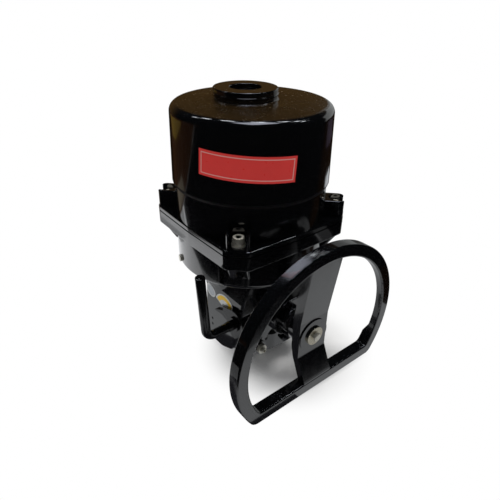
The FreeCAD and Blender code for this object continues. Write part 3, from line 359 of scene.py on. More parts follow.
def crowned_rim(s, wheel):
    """Height in metres that rounds the outer face of the handwheel's rim over its depth."""
    x, y, z = s.place()
    low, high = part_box("handwheel")
    across = s.maths("SUBTRACT", y, low[1] + wheel.rim_depth * wheel.crown_at)
    height = s.maths("MULTIPLY", s.maths("MULTIPLY", across, across), -wheel.rim_crown)
    upward = s.maths("SUBTRACT", z, wheel.axis_z)
    reach = s.maths("ADD", s.maths("MULTIPLY", upward, upward), s.maths("MULTIPLY", x, x))
    inner = high[0] - wheel.rim_depth * wheel.rim_share
    return s.maths("MULTIPLY", height, s.maths("GREATER_THAN", reach, inner * inner))


def finish(name, tones, blotch, roughness, wear, bump, depth, **sockets):
    """A material of two tones, a range of roughness and a fine bump.

    blotch, wear and bump are the size, detail and stretch of the noise behind each of them.
    """
    s = Shader(name)
    s.set(**sockets)
    s.feed(s.mix(s.noise(*blotch), *tones), "Base Color")
    s.feed(s.ramp(s.noise(*wear), *roughness), "Roughness")
    s.bumps((s.noise(*bump), depth))
    return s.material


def lever_paint(name, rgb):
    """Thinner, duller black on the bent bar and its hub plate."""
    return finish(name, (rgb, shades(rgb, 2.0)), (0.01, 3.0), (0.16, 0.26), (0.004, 4.0),
                  (0.0022, 3.0), 0.00002, Specular_IOR_Level=0.6, Coat_Weight=0.35,
                  Coat_Roughness=0.08)


def zinc_plate(name="zinc_plate", metallic=0.75):
    """Bright passivated zinc: part mirror, part scattering, a little yellow."""
    return finish(name, ((0.86, 0.84, 0.76), (0.74, 0.71, 0.60)), (0.004, 3.0), (0.24, 0.42),
                  (0.0015, 3.0), (0.0009, 2.0), 0.000012, Metallic=metallic,
                  Specular_IOR_Level=0.7)


def metal(name, rgb, dark, roughness, grain=(1.0, 1.0, 1.0)):
    """Bare or plated metal with tool marks drawn out along the grain's small axes."""
    size = 0.0012
    return finish(name, (rgb, dark), (size * 6, 4.0, grain), (roughness * 0.7, roughness * 1.4),
                  (size * 2, 3.0, grain), (size, 2.0, grain), 0.000012, Metallic=1.0)


def plastic(name, rgb, roughness):
    """Moulded plastic or rubber with a fine even texture."""
    return finish(name, (rgb, shades(rgb, 0.82)), (0.015, 3.0),
                  (roughness * 0.85, roughness * 1.15), (0.005, 2.0), (0.0008, 2.0), 0.00002,
                  Specular_IOR_Level=0.45)


def printed_foil(name, rgb):
    """Printed adhesive foil: a faint grain in the colour and a slight unevenness."""
    return finish(name, (rgb, shades(rgb, 0.93)), (0.009, 2.0), (0.272, 0.384), (0.004, 2.0),
                  (0.006, 2.0), 0.00003, Specular_IOR_Level=0.4, Coat_Weight=0.25,
                  Coat_Roughness=0.12)


def motor_enamel():
    """Grey stove enamel on the motor's can."""
    return finish("motor_enamel", ((0.10, 0.11, 0.12), (0.15, 0.16, 0.17)), (0.02, 4.0),
                  (0.35, 0.5), (0.008, 3.0), (0.0015, 3.0), 0.00003, Specular_IOR_Level=0.5)


def sight_glass():
    """Clear window glass with faint smears."""
    s = Shader("sight_glass")
    s.set(Base_Color=(0.86, 0.9, 0.9), Transmission_Weight=1.0, IOR=1.5)
    s.feed(s.ramp(s.noise(0.01, 4.0), 0.01, 0.05), "Roughness")
    s.bumps((s.noise(0.03, 1.0), 0.00002))
    return s.material


def assign(material, *nodes):
    """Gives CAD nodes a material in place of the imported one."""
    for node in nodes:
        mesh = frame["nodes"][node].data
        mesh.materials.clear()
        mesh.materials.append(material)


def nodes_in(slot):
    """CAD nodes whose material slot in the record has that name."""
    return [part["node"] for part in frame["record"]["subparts"] if part["material_slot"] == slot]


# ---- mesh helpers
def in_scene(name, data):
    thing = bpy.data.objects.new(name, data)
    bpy.context.scene.collection.objects.link(thing)
    return thing


def meshed(name, bm):
    """Object at the origin with the mesh of a bmesh, which ends here."""
    mesh = bpy.data.meshes.new(name)
    bm.to_mesh(mesh)
    bm.free()
    return in_scene(name, mesh)


def new_piece(name, bm, materials, body, smooth=30.0):
    """Turns a bmesh into an object at the origin that rides on a CAD body."""
    bmesh.ops.remove_doubles(bm, verts=bm.verts, dist=MERGE)
    bmesh.ops.recalc_face_normals(bm, faces=bm.faces)
    limit = math.radians(smooth)
    for face in bm.faces:
        face.smooth = True
    for edge in bm.edges:
        if len(edge.link_faces) == 2 and edge.calc_face_angle() > limit:
            edge.smooth = False
    piece = meshed(name, bm)
    for material in materials:
        piece.data.materials.append(material)
    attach(piece, body)
    return piece


def verts_of(geom):
    return [v for v in geom if isinstance(v, bmesh.types.BMVert)]


def faces_of(geom):
    return [f for f in geom if isinstance(f, bmesh.types.BMFace)]


def everything(bm):
    return bm.verts[:] + bm.edges[:] + bm.faces[:]


def placed(bm, matrix):
    bmesh.ops.transform(bm, matrix=matrix, verts=bm.verts)


def chain(bm, places):
    """Vertices at the places and the edges that join them in a row."""
    row = [bm.verts.new(place) for place in places]
    return row + [bm.edges.new(pair) for pair in zip(row, row[1:])]


def ring_of(bm, radius, z, segments):
    """Vertices of a circle round Z."""
    return bmesh.ops.create_circle(bm, cap_ends=False, radius=radius, segments=segments,
                                   matrix=Matrix.Translation((0, 0, z)))["verts"]


def loop_edges(verts):
    wanted = set(verts)
    return list({e for v in verts for e in v.link_edges if e.other_vert(v) in wanted})


def socket_head(bm, radius, height, socket, ridges, groove):
    """Screw head on z = 0 with a ridged side, a chamfered top and a hexagon socket in it."""
    chamfer = radius * 0.09
    socket_floor = height * 0.45 if height < 0.02 else height - 0.004
    rings = []
    for r, z, depth in ((radius, 0.0, groove), (radius, height - chamfer * 1.6, groove),
                        (radius - chamfer * 0.4, height - chamfer, groove * 0.4),
                        (radius - chamfer, height, 0.0)):
        verts = ring_of(bm, r, z, 2 * ridges)
        bmesh.ops.scale(bm, vec=(1 - depth / r, 1 - depth / r, 1), verts=verts[::2])
        rings.append(verts)
    for r, z in ((socket / 2 * 1.04, height), (socket / 2, height - socket * 0.06),
                 (socket / 2, socket_floor)):
        rings.append(ring_of(bm, r, z, 6))
    for near, far in zip(rings, rings[1:]):
        bmesh.ops.bridge_loops(bm, edges=loop_edges(near) + loop_edges(far))
    for verts in (rings[0], rings[-1]):
        bmesh.ops.contextual_create(bm, geom=loop_edges(verts))


def shank(bm, radius, long):
    """Plain pin hanging from z = 0, with its end sunk a little into the head."""
    sunk = 0.0001
    bmesh.ops.create_cone(bm, cap_ends=True, segments=24, radius1=radius, radius2=radius,
                          depth=long, matrix=Matrix.Translation((0, 0, sunk - long / 2)))


# ---- operators for the finishes
class ACTUATOR_OT_castings(bpy.types.Operator):
    """Paints the cast housing, cover, handwheel and lever"""
    bl_idname = "actuator.castings"
    bl_label = "Paint the castings"

    def execute(self, context):
        paint = context.scene.actuator_paint
        body = gloss_paint("casting_enamel", paint.casting, paint.gloss, paint.peel)
        wheel = gloss_paint("handwheel_enamel", paint.wheel, paint.gloss * 1.3, paint.peel * 0.6,
                            waviness=0.00004, crown=context.scene.actuator_wheel)
        # The cover's paint has painted shade in its step and a brown painted sheen on its top.
        cover = gloss_paint("cover_enamel", paint.casting, paint.gloss, paint.peel,
                            shade_and_sheen=context.scene.actuator_dust)
        assign(body, *nodes_in("black_casting"))
        assign(cover, "top_cover")
        assign(wheel, *nodes_in("wheel_casting"))
        assign(lever_paint("lever_enamel", paint.lever), *nodes_in("lever_black"))
        return {"FINISHED"}


class ACTUATOR_OT_metals(bpy.types.Operator):
    """Finishes the plated, machined and bronze pieces"""
    bl_idname = "actuator.metals"
    bl_label = "Finish the metal pieces"

    def execute(self, context):
        plate = metal("washer_plate", (0.78, 0.73, 0.60), (0.66, 0.61, 0.48), 0.3,
                      (1.0, 0.4, 1.0))
        black = metal("blackened_steel", (0.05, 0.05, 0.055), (0.025, 0.025, 0.03), 0.3)
        milled = metal("milled_steel", (0.56, 0.57, 0.58), (0.42, 0.43, 0.45), 0.28,
                       (1.0, 1.0, 4.0))
        turned = metal("turned_steel", (0.58, 0.58, 0.59), (0.45, 0.45, 0.46), 0.24,
                       (0.6, 5.0, 0.6))
        bronze = metal("bearing_bronze", (0.66, 0.42, 0.17), (0.5, 0.31, 0.12), 0.3)
        alloy = metal("bare_alloy", (0.74, 0.75, 0.76), (0.6, 0.61, 0.62), 0.36)
        assign(zinc_plate(), *nodes_in("zinc_steel"))
        assign(plate, "handwheel_washer")
        assign(black, *nodes_in("black_steel"))
        assign(milled, *nodes_in("machined_steel"))
        assign(turned, "handwheel_shaft", "worm_shaft", "clutch_ring", "lever_shaft",
               "shaft_bearings")
        assign(bronze, *nodes_in("bronze"))
        # The lever bush, bronze in the record, is drawn in the same near-black steel.
        assign(black, "lever_bush")
        assign(alloy, *nodes_in("plain_aluminium"))
        return {"FINISHED"}


class ACTUATOR_OT_soft_and_clear(bpy.types.Operator):
    """Finishes the seals, plastics, motor and sight glass"""
    bl_idname = "actuator.soft_and_clear"
    bl_label = "Finish seals, plastics and glass"

    def execute(self, context):
        for slot, name, rgb, roughness in (
                ("rubber", "black_rubber", (0.012, 0.012, 0.012), 0.7),
                ("dark_plastic", "black_nylon", (0.014, 0.014, 0.015), 0.42),
                ("pale_plastic", "terminal_plastic", (0.62, 0.61, 0.56), 0.5),
                ("dial_plastic", "dial_plastic", (0.02, 0.02, 0.022), 0.4)):
            assign(plastic(name, rgb, roughness), *nodes_in(slot))
        assign(motor_enamel(), *nodes_in("motor_paint"))
        assign(sight_glass(), *nodes_in("sight_glass"))
        return {"FINISHED"}


# ---- operators for the pieces
class ACTUATOR_OT_panel(bpy.types.Operator):
    """Lays the bare red panel with its pale line on the drum"""
    bl_idname = "actuator.panel"
    bl_label = "Red panel"

    def execute(self, context):
        p = context.scene.actuator_panel
        bm = bmesh.new()
        bmesh.ops.create_grid(bm, x_segments=1, y_segments=1, size=0.5)
        bmesh.ops.scale(bm, vec=(p.width, p.height, 1.0), verts=bm.verts)
        inset = dict(faces=bm.faces[:], use_boundary=True, use_even_offset=True)
        bmesh.ops.inset_region(bm, thickness=p.margin, **inset)
        for face in bmesh.ops.inset_region(bm, thickness=p.line, **inset)["faces"]:
            face.material_index = 1
        self.cut_across(bm, p.width, 40)
        bmesh.ops.solidify(bm, geom=bm.faces[:], thickness=-p.thickness)
        bmesh.ops.rotate(bm, cent=(0, 0, 0), matrix=Matrix.Rotation(p.tilt, 3, "Z"),
                         verts=bm.verts)
        self.wrap(bm, p)
        foils = [printed_foil("panel_red", p.red), printed_foil("panel_line", p.border)]
        new_piece("red_panel", bm, foils, "housing")
        return {"FINISHED"}

    @staticmethod
    def cut_across(bm, width, count):
        """Cuts the flat sheet into strips that can bend."""
        for i in range(1, count):
            x = -width / 2 + i * width / count
            bmesh.ops.bisect_plane(bm, geom=everything(bm), dist=1e-6, plane_co=(x, 0, 0),
                                   plane_no=(1, 0, 0))

    @staticmethod
    def wrap(bm, p):
        """Bends the sheet onto the drum, which narrows a little upwards."""
        belt_z, edge_z = 0.235, 0.3107
        belt_r, edge_r = 0.0915, 0.0900
        glue = 0.00005
        for v in bm.verts:
            x, y, lift = v.co
            z = p.centre_z + y
            r = belt_r + (edge_r - belt_r) * (z - belt_z) / (edge_z - belt_z)
            turn = p.middle + x / r
            r += lift + glue
            v.co = (r * math.cos(turn), r * math.sin(turn), z)


class ACTUATOR_OT_stickers(bpy.types.Operator):
    """Sticks the round and the arched sticker on the gear case"""
    bl_idname = "actuator.stickers"
    bl_label = "Stickers on the gear case"

    def execute(self, context):
        s = context.scene.actuator_stickers
        side_x = MOUNTS["clip_holes"]["pos_m"][0]
        self.disc(s, side_x)
        self.arch(s, side_x)
        return {"FINISHED"}

    @staticmethod
    def disc(s, side_x):
        """Round sticker with a paler edge, pressed onto the casting from outside."""
        rings, away, edge = 16, 0.015, 0.8
        bm = bmesh.new()
        spoke = chain(bm, [(s.disc_r * i / rings, 0.0, 0.0) for i in range(rings + 1)])
        bmesh.ops.spin(bm, geom=spoke, cent=(0, 0, 0), axis=(0, 0, 1), dvec=(0, 0, 0),
                       angle=math.tau, steps=64, use_merge=True)
        bmesh.ops.remove_doubles(bm, verts=bm.verts, dist=MERGE)
        for face in bm.faces:
            if face.calc_center_median().xy.length > s.disc_r * edge:
                face.material_index = 1
        bmesh.ops.recalc_face_normals(bm, faces=bm.faces[:])
        placed(bm, Matrix.Translation((side_x - away, s.disc_y, s.disc_z))
               @ Matrix.Rotation(-math.pi / 2, 4, "Y"))
        foils = [printed_foil("sticker_grey", s.grey), printed_foil("sticker_edge", s.white)]
        piece = new_piece("round_sticker", bm, foils, "housing")
        press = piece.modifiers.new("press", "SHRINKWRAP")
        press.target = frame["nodes"]["gear_case"]
        press.wrap_method, press.wrap_mode = "PROJECT", "ABOVE_SURFACE"
        press.use_project_x = press.use_positive_direction = press.use_negative_direction = True
        press.offset = s.thickness
        foil = piece.modifiers.new("foil", "SOLIDIFY")
        foil.thickness, foil.offset = s.thickness, 0.0

    @staticmethod
    def arch(s, side_x):
        """Arched sticker: white paper with a yellow band, spun about its own centre."""
        inner, band_in, band_out, outer = 0.0070, 0.0128, 0.0188, 0.0208
        bm = bmesh.new()
        geom = chain(bm, [(0.0, r, 0.0) for r in (inner, band_in, band_out, outer)])
        for sweep, steps, band in ((s.arc_end, 2, 0), (s.arc_sweep - 2 * s.arc_end, 30, 1),
                                   (s.arc_end, 2, 0)):
            before = set(bm.faces)
            geom = bmesh.ops.spin(bm, geom=geom, cent=(0, 0, 0), axis=(1, 0, 0), dvec=(0, 0, 0),
                                  angle=sweep, steps=steps, use_merge=False)["geom_last"]
            for face in set(bm.faces) - before:
                in_band = band_in < face.calc_center_median().length < band_out
                face.material_index = band if in_band else 0
        bmesh.ops.recalc_face_normals(bm, faces=bm.faces)
        bmesh.ops.solidify(bm, geom=bm.faces[:], thickness=s.thickness)
        back = max(v.co.x for v in bm.verts)
        placed(bm, Matrix.Translation((side_x - back, s.arc_y, s.arc_z))
               @ Matrix.Rotation(s.arc_start, 4, "X"))
        foils = [printed_foil("sticker_white", s.white), printed_foil("sticker_yellow", s.yellow)]
        new_piece("arched_sticker", bm, foils, "housing")


class ACTUATOR_OT_cover_screws(bpy.types.Operator):
    """Replaces the four cover screws by ones with knurled heads and hexagon sockets, with painted
    light on their tops and painted shade on their sides
    """
    bl_idname = "actuator.cover_screws"
    bl_label = "Cover screws"

    def execute(self, context):
        s = context.scene.actuator_screws
        low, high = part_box("cover_bolts")
        reach = (high[0] - s.head_r) * math.sqrt(2)
        tightened, facing_up = 0.3, 0.7
        bm = bmesh.new()
        socket_head(bm, s.head_r, s.head_h, s.socket, s.knurls, s.knurl_depth)
        shank(bm, s.shank_r, high[2] - s.head_h - low[2])
        placed(bm, Matrix.Translation((reach, 0, high[2] - s.head_h))
               @ Matrix.Rotation(tightened, 4, "Z"))
        one = everything(bm)
        for eighths in (1, 3, 5, 7):
            copy = bmesh.ops.duplicate(bm, geom=one)["geom"]
            bmesh.ops.rotate(bm, cent=(0, 0, 0), verts=verts_of(copy),
                             matrix=Matrix.Rotation(eighths * math.pi / 4, 3, "Z"))
        bmesh.ops.delete(bm, geom=verts_of(one), context="VERTS")
        bm.normal_update()
        # Painted light and shade: faces that look up get a pale, lit zinc and the rest get a
        # dark, shaded zinc, two copies of one plating.
        for face in bm.faces:
            face.material_index = int(face.normal.z > facing_up)
        lit_and_shaded_zinc = [zinc_plate("shaded_side_zinc", 0.85), zinc_plate("lit_top_zinc", 0.10)]
        piece = new_piece("cover_screws", bm, lit_and_shaded_zinc, "housing")
        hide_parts("cover_bolts")
        return {"FINISHED"}


class ACTUATOR_OT_stop_screws(bpy.types.Operator):
    """Replaces both stop screws by threaded ones"""
    bl_idname = "actuator.stop_screws"
    bl_label = "Stop screws"

    def execute(self, context):
        s = context.scene.actuator_screws
        black = metal("stop_screw_black", (0.05, 0.05, 0.055), (0.025, 0.025, 0.03), 0.3)
        for node, material, slot in (("stop_screw_closed", zinc_plate(), "zinc_steel"),
                                     ("stop_screw_open", black, "black_steel")):
            low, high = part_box(node)
            long = high[1] - low[1]
            bm = bmesh.new()
            socket_head(bm, s.shank_r - s.thread_depth, long, s.socket * 0.7, 12, 0.0)
            self.thread(bm, s, long)
            tip = Vector(((low[0] + high[0]) / 2, high[1], (low[2] + high[2]) / 2))
            placed(bm, Matrix.Translation(tip) @ Matrix.Rotation(math.pi / 2, 4, "X"))
            piece = new_piece("threaded_" + node, bm, [material], "housing")
            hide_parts(node)
        return {"FINISHED"}

    @staticmethod
    def thread(bm, s, long):
        """One V-shaped ridge wound round Z from near the foot to near the head."""
        root, crest = s.shank_r - s.thread_depth * 1.2, s.shank_r
        turns = int(long / s.pitch) - 1
        steps = 20
        corners = [bm.verts.new((r, 0, s.pitch * rise)) for r, rise in
                   ((root, 0), (crest, 0.42), (crest, 0.54), (root, 0.96))]
        bmesh.ops.spin(bm, geom=[bm.faces.new(corners)], cent=(0, 0, 0), axis=(0, 0, 1),
                       angle=math.tau * turns, dvec=(0, 0, s.pitch / steps),
                       steps=steps * turns, use_merge=False)


class ACTUATOR_OT_wheel_screw(bpy.types.Operator):
    """Replaces the handwheel's screw by a hexagon screw with a chamfered head"""
    bl_idname = "actuator.wheel_screw"
    bl_label = "Handwheel screw"

    def execute(self, context):
        s = context.scene.actuator_screws
        low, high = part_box("handwheel_screw")
        washer_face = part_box("handwheel_washer")[0][1]
        corner_r = (high[2] - low[2]) / 2
        tightened = 0.26
        bm = bmesh.new()
        bmesh.ops.create_circle(bm, cap_ends=True, segments=6, radius=corner_r)
        lifted = verts_of(bmesh.ops.extrude_face_region(bm, geom=bm.faces[:])["geom"])
        bmesh.ops.translate(bm, vec=(0, 0, washer_face - low[1]), verts=lifted)
        rim = [e for e in bm.edges if all(v in lifted for v in e.verts)]
        bmesh.ops.bevel(bm, geom=rim, offset=s.wheel_edge, segments=2, profile=0.5,
                        affect="EDGES", material=-1)
        shank(bm, s.wheel_r, high[1] - washer_face)
        middle = Vector(((low[0] + high[0]) / 2, washer_face, (low[2] + high[2]) / 2))
        placed(bm, Matrix.Translation(middle) @ Matrix.Rotation(math.pi / 2, 4, "X")
               @ Matrix.Rotation(tightened, 4, "Z"))
        piece = new_piece("wheel_hexagon_screw", bm, [zinc_plate()], "handwheel")
        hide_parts("handwheel_screw")
        return {"FINISHED"}


class ACTUATOR_OT_lever_bar(bpy.types.Operator):
    """Replaces the lever's bent bar by a stouter one with a chamfered end"""
    bl_idname = "actuator.lever_bar"
    bl_label = "Lever bar"

    def execute(self, context):
        s = context.scene.actuator_lever
        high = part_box("lever_rod")[1]
        foot = Vector((high[0], s.elbow.y, s.elbow.z))
        along, up = (s.elbow - foot).normalized(), (s.end - s.elbow).normalized()
        turn = along.angle(up)
        radius = s.bend / math.tan(turn / 2)
        inward = (up - along * up.dot(along)).normalized()
        bm = bmesh.new()
        start = Matrix.Translation(foot) @ along.to_track_quat("Z", "Y").to_matrix().to_4x4()
        bmesh.ops.create_circle(bm, cap_ends=True, segments=40, radius=s.bar_r, matrix=start)
        tip = self.drawn_out(bm, bm.faces[:], along * ((s.elbow - foot).length - s.bend))
        centre = s.elbow - along * s.bend + inward * radius
        bent = bmesh.ops.spin(bm, geom=tip, cent=centre, axis=along.cross(up).normalized(),
                              dvec=(0, 0, 0), angle=turn, steps=18, use_merge=False)
        tip = self.drawn_out(bm, faces_of(bent["geom_last"]),
                             up * ((s.end - s.elbow).length - s.bend))
        bmesh.ops.recalc_face_normals(bm, faces=bm.faces[:])
        bmesh.ops.bevel(bm, geom=list(tip[0].edges), offset=s.chamfer, segments=2, profile=0.5,
                        affect="EDGES", material=-1)
        paint = lever_paint("lever_bar_enamel", context.scene.actuator_paint.lever)
        piece = new_piece("lever_bar", bm, [paint], "lever")
        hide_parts("lever_rod")
        return {"FINISHED"}

    @staticmethod
    def drawn_out(bm, faces, vec):
        """Extrudes faces along vec and returns the faces at the far end."""
        out = bmesh.ops.extrude_face_region(bm, geom=faces)["geom"]
        bmesh.ops.translate(bm, vec=vec, verts=verts_of(out))
        return faces_of(out)


class ACTUATOR_OT_window_bead(bpy.types.Operator):
    """Lays the rounded lip of the seal round the window boss, under its ring"""
    bl_idname = "actuator.window_bead"
    bl_label = "Window bead"

    def execute(self, context):
        s = context.scene.actuator_window
        low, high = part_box("window_ring")
        reach = (high[0] - low[0]) / 2 + s.stands_out - s.bead_r
        bm = bmesh.new()
        around = Matrix.Translation((reach, 0, 0)) @ Matrix.Rotation(math.pi / 2, 4, "X")
        section = bmesh.ops.create_circle(bm, cap_ends=False, radius=s.bead_r, segments=16,
                                          matrix=around)["verts"]
        bmesh.ops.spin(bm, geom=section + bm.edges[:], cent=(0, 0, 0), axis=(0, 0, 1),
                       dvec=(0, 0, 0), angle=math.tau, steps=96, use_merge=True)
        bmesh.ops.remove_doubles(bm, verts=bm.verts, dist=MERGE)
        bmesh.ops.recalc_face_normals(bm, faces=bm.faces[:])
        placed(bm, Matrix.Translation(((low[0] + high[0]) / 2, (low[1] + high[1]) / 2,
                                       high[2] - s.below_top)))
        paint = context.scene.actuator_paint
        bead = gloss_paint("bead_enamel", paint.casting, paint.gloss * 0.6, paint.peel)
        new_piece("window_bead", bm, [bead], "housing", smooth=80.0)
        return {"FINISHED"}


class ACTUATOR_OT_dial_marks(bpy.types.Operator):
    """Sets bare strokes round the dial under the sight glass"""
    bl_idname = "actuator.dial_marks"
    bl_label = "Dial marks"

    def execute(self, context):
        s = context.scene.actuator_window
        low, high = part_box("indicator_dial")
        reach = (high[0] - low[0]) / 2
        stroke = Matrix.Diagonal((reach * 0.16, s.stroke_w, 0.0002, 1))
        outwards = Matrix.Translation((reach * 0.87, 0, low[2] + s.stroke_z))
        bm = bmesh.new()
        for i in range(s.strokes):
            turn = Matrix.Rotation(i * math.tau / s.strokes, 4, "Z")
            bmesh.ops.create_cube(bm, size=1.0, matrix=turn @ outwards @ stroke)
        paint = printed_foil("dial_yellow", (0.75, 0.55, 0.03))
        new_piece("dial_marks", bm, [paint], "output")
        return {"FINISHED"}


# ---- studio
# Patches on the floor that only reflections see: name, height, colour and corners. A higher
# patch hides a lower one.
GROUND = (
    ("ground_near", 0.0003, (0.42, 0.43, 0.44),
     ((-0.9, -0.9), (0.9, -0.9), (0.9, 0.6), (-0.9, 0.6))),
    ("ground_shadow", 0.0005, (0.02, 0.02, 0.02),
     ((-0.03, -0.08), (-0.02, -0.12), (0.06, -0.12), (0.05, -0.08))),
    ("ground_lever_shade", 0.0005, (0.03, 0.03, 0.035),
     ((-0.21, -0.12), (-0.12, -0.145), (-0.03, -0.145), (-0.03, 0.03), (-0.075, 0.025),
      (-0.085, -0.005), (-0.20, -0.05))),
    ("ground_pale", 0.0005, (0.95, 0.96, 0.98),
     ((-0.300, 0.17), (-0.265, 0.05), (-0.20, 0.05), (-0.10, 0.17), (0.05, 0.26), (0.05, 0.33),
      (-0.235, 0.29), (-0.235, 0.44), (-0.262, 0.44))),
    ("ground_left", 0.0006, (0.004, 0.004, 0.005),
     ((-3.9, -3.9), (-0.285, -3.9), (-0.185, -0.19), (-0.28, -0.03), (-0.29, 0.13),
      (-0.262, 0.44), (-3.9, 1.2))),
    ("ground_front", 0.0006, (0.004, 0.004, 0.005),
     ((-0.285, -3.9), (3.9, -3.9), (3.9, -0.40), (0.30, -0.26), (0.05, -0.262),
      (-0.185, -0.19))),
    ("ground_behind", 0.0006, (0.045, 0.020, 0.010),
     ((-3.9, 1.2), (-0.235, 0.44), (-0.10, 0.42), (0.30, 3.9), (-3.9, 3.9))),
    ("ground_right", 0.0006, (0.012, 0.006, 0.003),
     ((0.30, 3.9), (-0.10, 0.42), (0.52, 0.32), (0.58, 0.10), (0.45, -0.12), (0.24, -0.12),
      (0.205, -0.16), (0.205, -0.262), (0.30, -0.26), (3.9, -0.40), (3.9, 3.9))),
    ("ground_strip", 0.0008, (0.75, 0.77, 0.80),
     ((0.58, -0.03), (0.70, -0.01), (0.72, 0.22), (0.60, 0.20))),
    ("ground_grey", 0.0008, (0.17, 0.145, 0.11),
     ((-0.42, 0.50), (-0.12, 0.44), (-0.08, 0.58), (-0.40, 0.62))),
    ("ground_mustard", 0.0008, (0.17, 0.11, 0.025),
     ((-0.75, 1.05), (-0.30, 0.98), (-0.10, 1.05), (0.10, 1.6), (-0.25, 1.8), (-0.70, 1.5))),
    ("ground_far", 0.0008, (0.057, 0.044, 0.060),
     ((0.96, -0.12), (1.5, -0.12), (1.6, 0.30), (1.0, 0.30))),
)
ROOM_R = 4.0
LAMP_GAP, LAMP_COLOUR, LAMP_AIM = 0.9, (1.0, 0.985, 0.96), (0, 0, 0.15)
TUBE_GAP, TUBE_SIZE, TUBE_GLOW = 0.5, (0.24, 0.12), (15.0, 15.8, 16.8)
SKYLIGHT_PLACE, SKYLIGHT_RISE = (0.02, -0.16), 0.1
SKYLIGHT_SIZE, SKYLIGHT_GLOW = (0.90, 0.80), (3.0, 3.2, 3.9)
WALL_REACH, WALL_HEIGHT, WALL_TURNS = 3.4, 1.6, (-0.20, 0.66)


class ACTUATOR_OT_stage(bpy.types.Operator):
    """Makes the floor, the reflection cards, the lamps and the camera"""
    bl_idname = "actuator.stage"
    bl_label = "Studio"

    def execute(self, context):
        studio = context.scene.actuator_studio
        self.floor(studio)
        self.surroundings()
        self.lamps(studio)
        self.world(studio)
        self.camera(context, studio)
        context.scene.view_settings.view_transform = "Standard"
        return {"FINISHED"}

    @staticmethod
    def floor(studio):
        """Pale floor that keeps the shadow near the object and is white further off."""
        bm = bmesh.new()
        bmesh.ops.create_circle(bm, cap_ends=True, radius=40.0, segments=96)
        floor = stage_object("floor", bm)
        s = Shader("pale_floor")
        s.set(Roughness=0.6, Specular_IOR_Level=0.2)
        s.feed(s.mix(s.noise(0.2, 4.0), studio.floor, shades(studio.floor, 0.97)), "Base Color")
        distance = s.from_place("DISTANCE", studio.fade_middle)
        fade = s.remap(distance, studio.fade_near, studio.fade_far)
        blend = s.add("ShaderNodeMixShader")
        for socket, value in zip(blend.inputs, (
                s.maths("MULTIPLY", fade, seen_directly(s)), s.bsdf.outputs[0],
                s.add("ShaderNodeEmission").outputs[0])):
            s.feed(value, socket)
        s.feed(blend.outputs[0], s.tree.nodes["Material Output"].inputs["Surface"])
        s.material.cycles.emission_sampling = "NONE"
        floor.data.materials.append(s.material)

    @staticmethod
    def surroundings():
        """Surroundings that only reflections see: the room above and patches on the ground."""
        bm = bmesh.new()
        bmesh.ops.create_uvsphere(bm, u_segments=48, v_segments=24, radius=ROOM_R)
        bmesh.ops.bisect_plane(bm, geom=everything(bm), plane_co=(0, 0, 0), plane_no=(0, 0, -1),
                               clear_outer=True)
        card("room_above", bm, (0.004, 0.005, 0.006), glow=(0.062, 0.035, 0.012))
        for name, z, rgb, corners in GROUND:
            bm = bmesh.new()
            bm.faces.new([bm.verts.new((x, y, z)) for x, y in corners])
            card(name, bm, rgb)

    @staticmethod
    def lamps(studio):
        """Soft lamps in a row behind the object, and the bright cards that the paint mirrors."""
        row = Vector((math.cos(studio.row_azimuth), math.sin(studio.row_azimuth), 0))
        behind = Vector((-row.y, row.x, 0)) * studio.row_offset
        behind += Vector((0, 0, studio.lamp_height))
        for i in range(-1, 2):
            lamp("soft_lamp_%d" % (i + 2), row * i * LAMP_GAP + behind, studio)
        for i in range(-3, 4):
            place = (Matrix.Translation(row * i * TUBE_GAP + behind)
                     @ Matrix.Rotation(studio.row_azimuth, 4, "Z"))
            flat_card("lamp_tube_%d" % (i + 4), place, TUBE_SIZE, TUBE_GLOW)
        above = Matrix.Translation((*SKYLIGHT_PLACE, studio.lamp_height + SKYLIGHT_RISE))
        flat_card("blue_skylight", above, SKYLIGHT_SIZE, SKYLIGHT_GLOW)
        bm = bmesh.new()
        feet = [Vector((math.cos(a), math.sin(a), 0)) * WALL_REACH for a in WALL_TURNS]
        tops = [foot + Vector((0, 0, WALL_HEIGHT)) for foot in reversed(feet)]
        bm.faces.new([bm.verts.new(v) for v in feet + tops])
        card("pale_wall", bm, (0.36, 0.37, 0.37))

    @staticmethod
    def world(studio):
        """Even light all round; the background itself is white."""
        world = bpy.data.worlds.new("studio_world")
        bpy.context.scene.world = world
        world.use_nodes = True
        nodes, links = world.node_tree.nodes, world.node_tree.links
        path = nodes.new("ShaderNodeLightPath")
        strength = nodes.new("ShaderNodeMix")
        strength.inputs[2].default_value = 1.0
        strength.inputs[3].default_value = studio.sky
        links.new(path.outputs["Is Diffuse Ray"], strength.inputs[0])
        links.new(strength.outputs[0], nodes["Background"].inputs["Strength"])
        nodes["Background"].inputs["Color"].default_value = (1.0, 1.0, 1.0, 1.0)

    @staticmethod
    def camera(context, studio):
        data = bpy.data.cameras.new("camera")
        data.lens = studio.lens
        data.sensor_width = 36.0
        data.clip_start, data.clip_end = 0.02, 30.0
        camera = in_scene("camera", data)
        view = Euler((math.pi / 2 - studio.elevation, 0, studio.azimuth)).to_matrix().to_4x4()
        roll = Matrix.Rotation(studio.roll, 4, "Z")
        camera.matrix_world = Matrix.Translation(studio.camera_place) @ view @ roll
        context.scene.camera = camera


def stage_object(name, bm):
    thing = meshed(name, bm)
    return thing


def seen_directly(s):
    """1 for camera, glossy and transmission rays, 0 for the rays that carry light."""
    path = s.add("ShaderNodeLightPath")
    total = path.outputs["Is Camera Ray"]
    for name in ("Is Glossy Ray", "Is Transmission Ray"):
        total = s.maths("ADD", total, path.outputs[name], clamp=True)
    return total


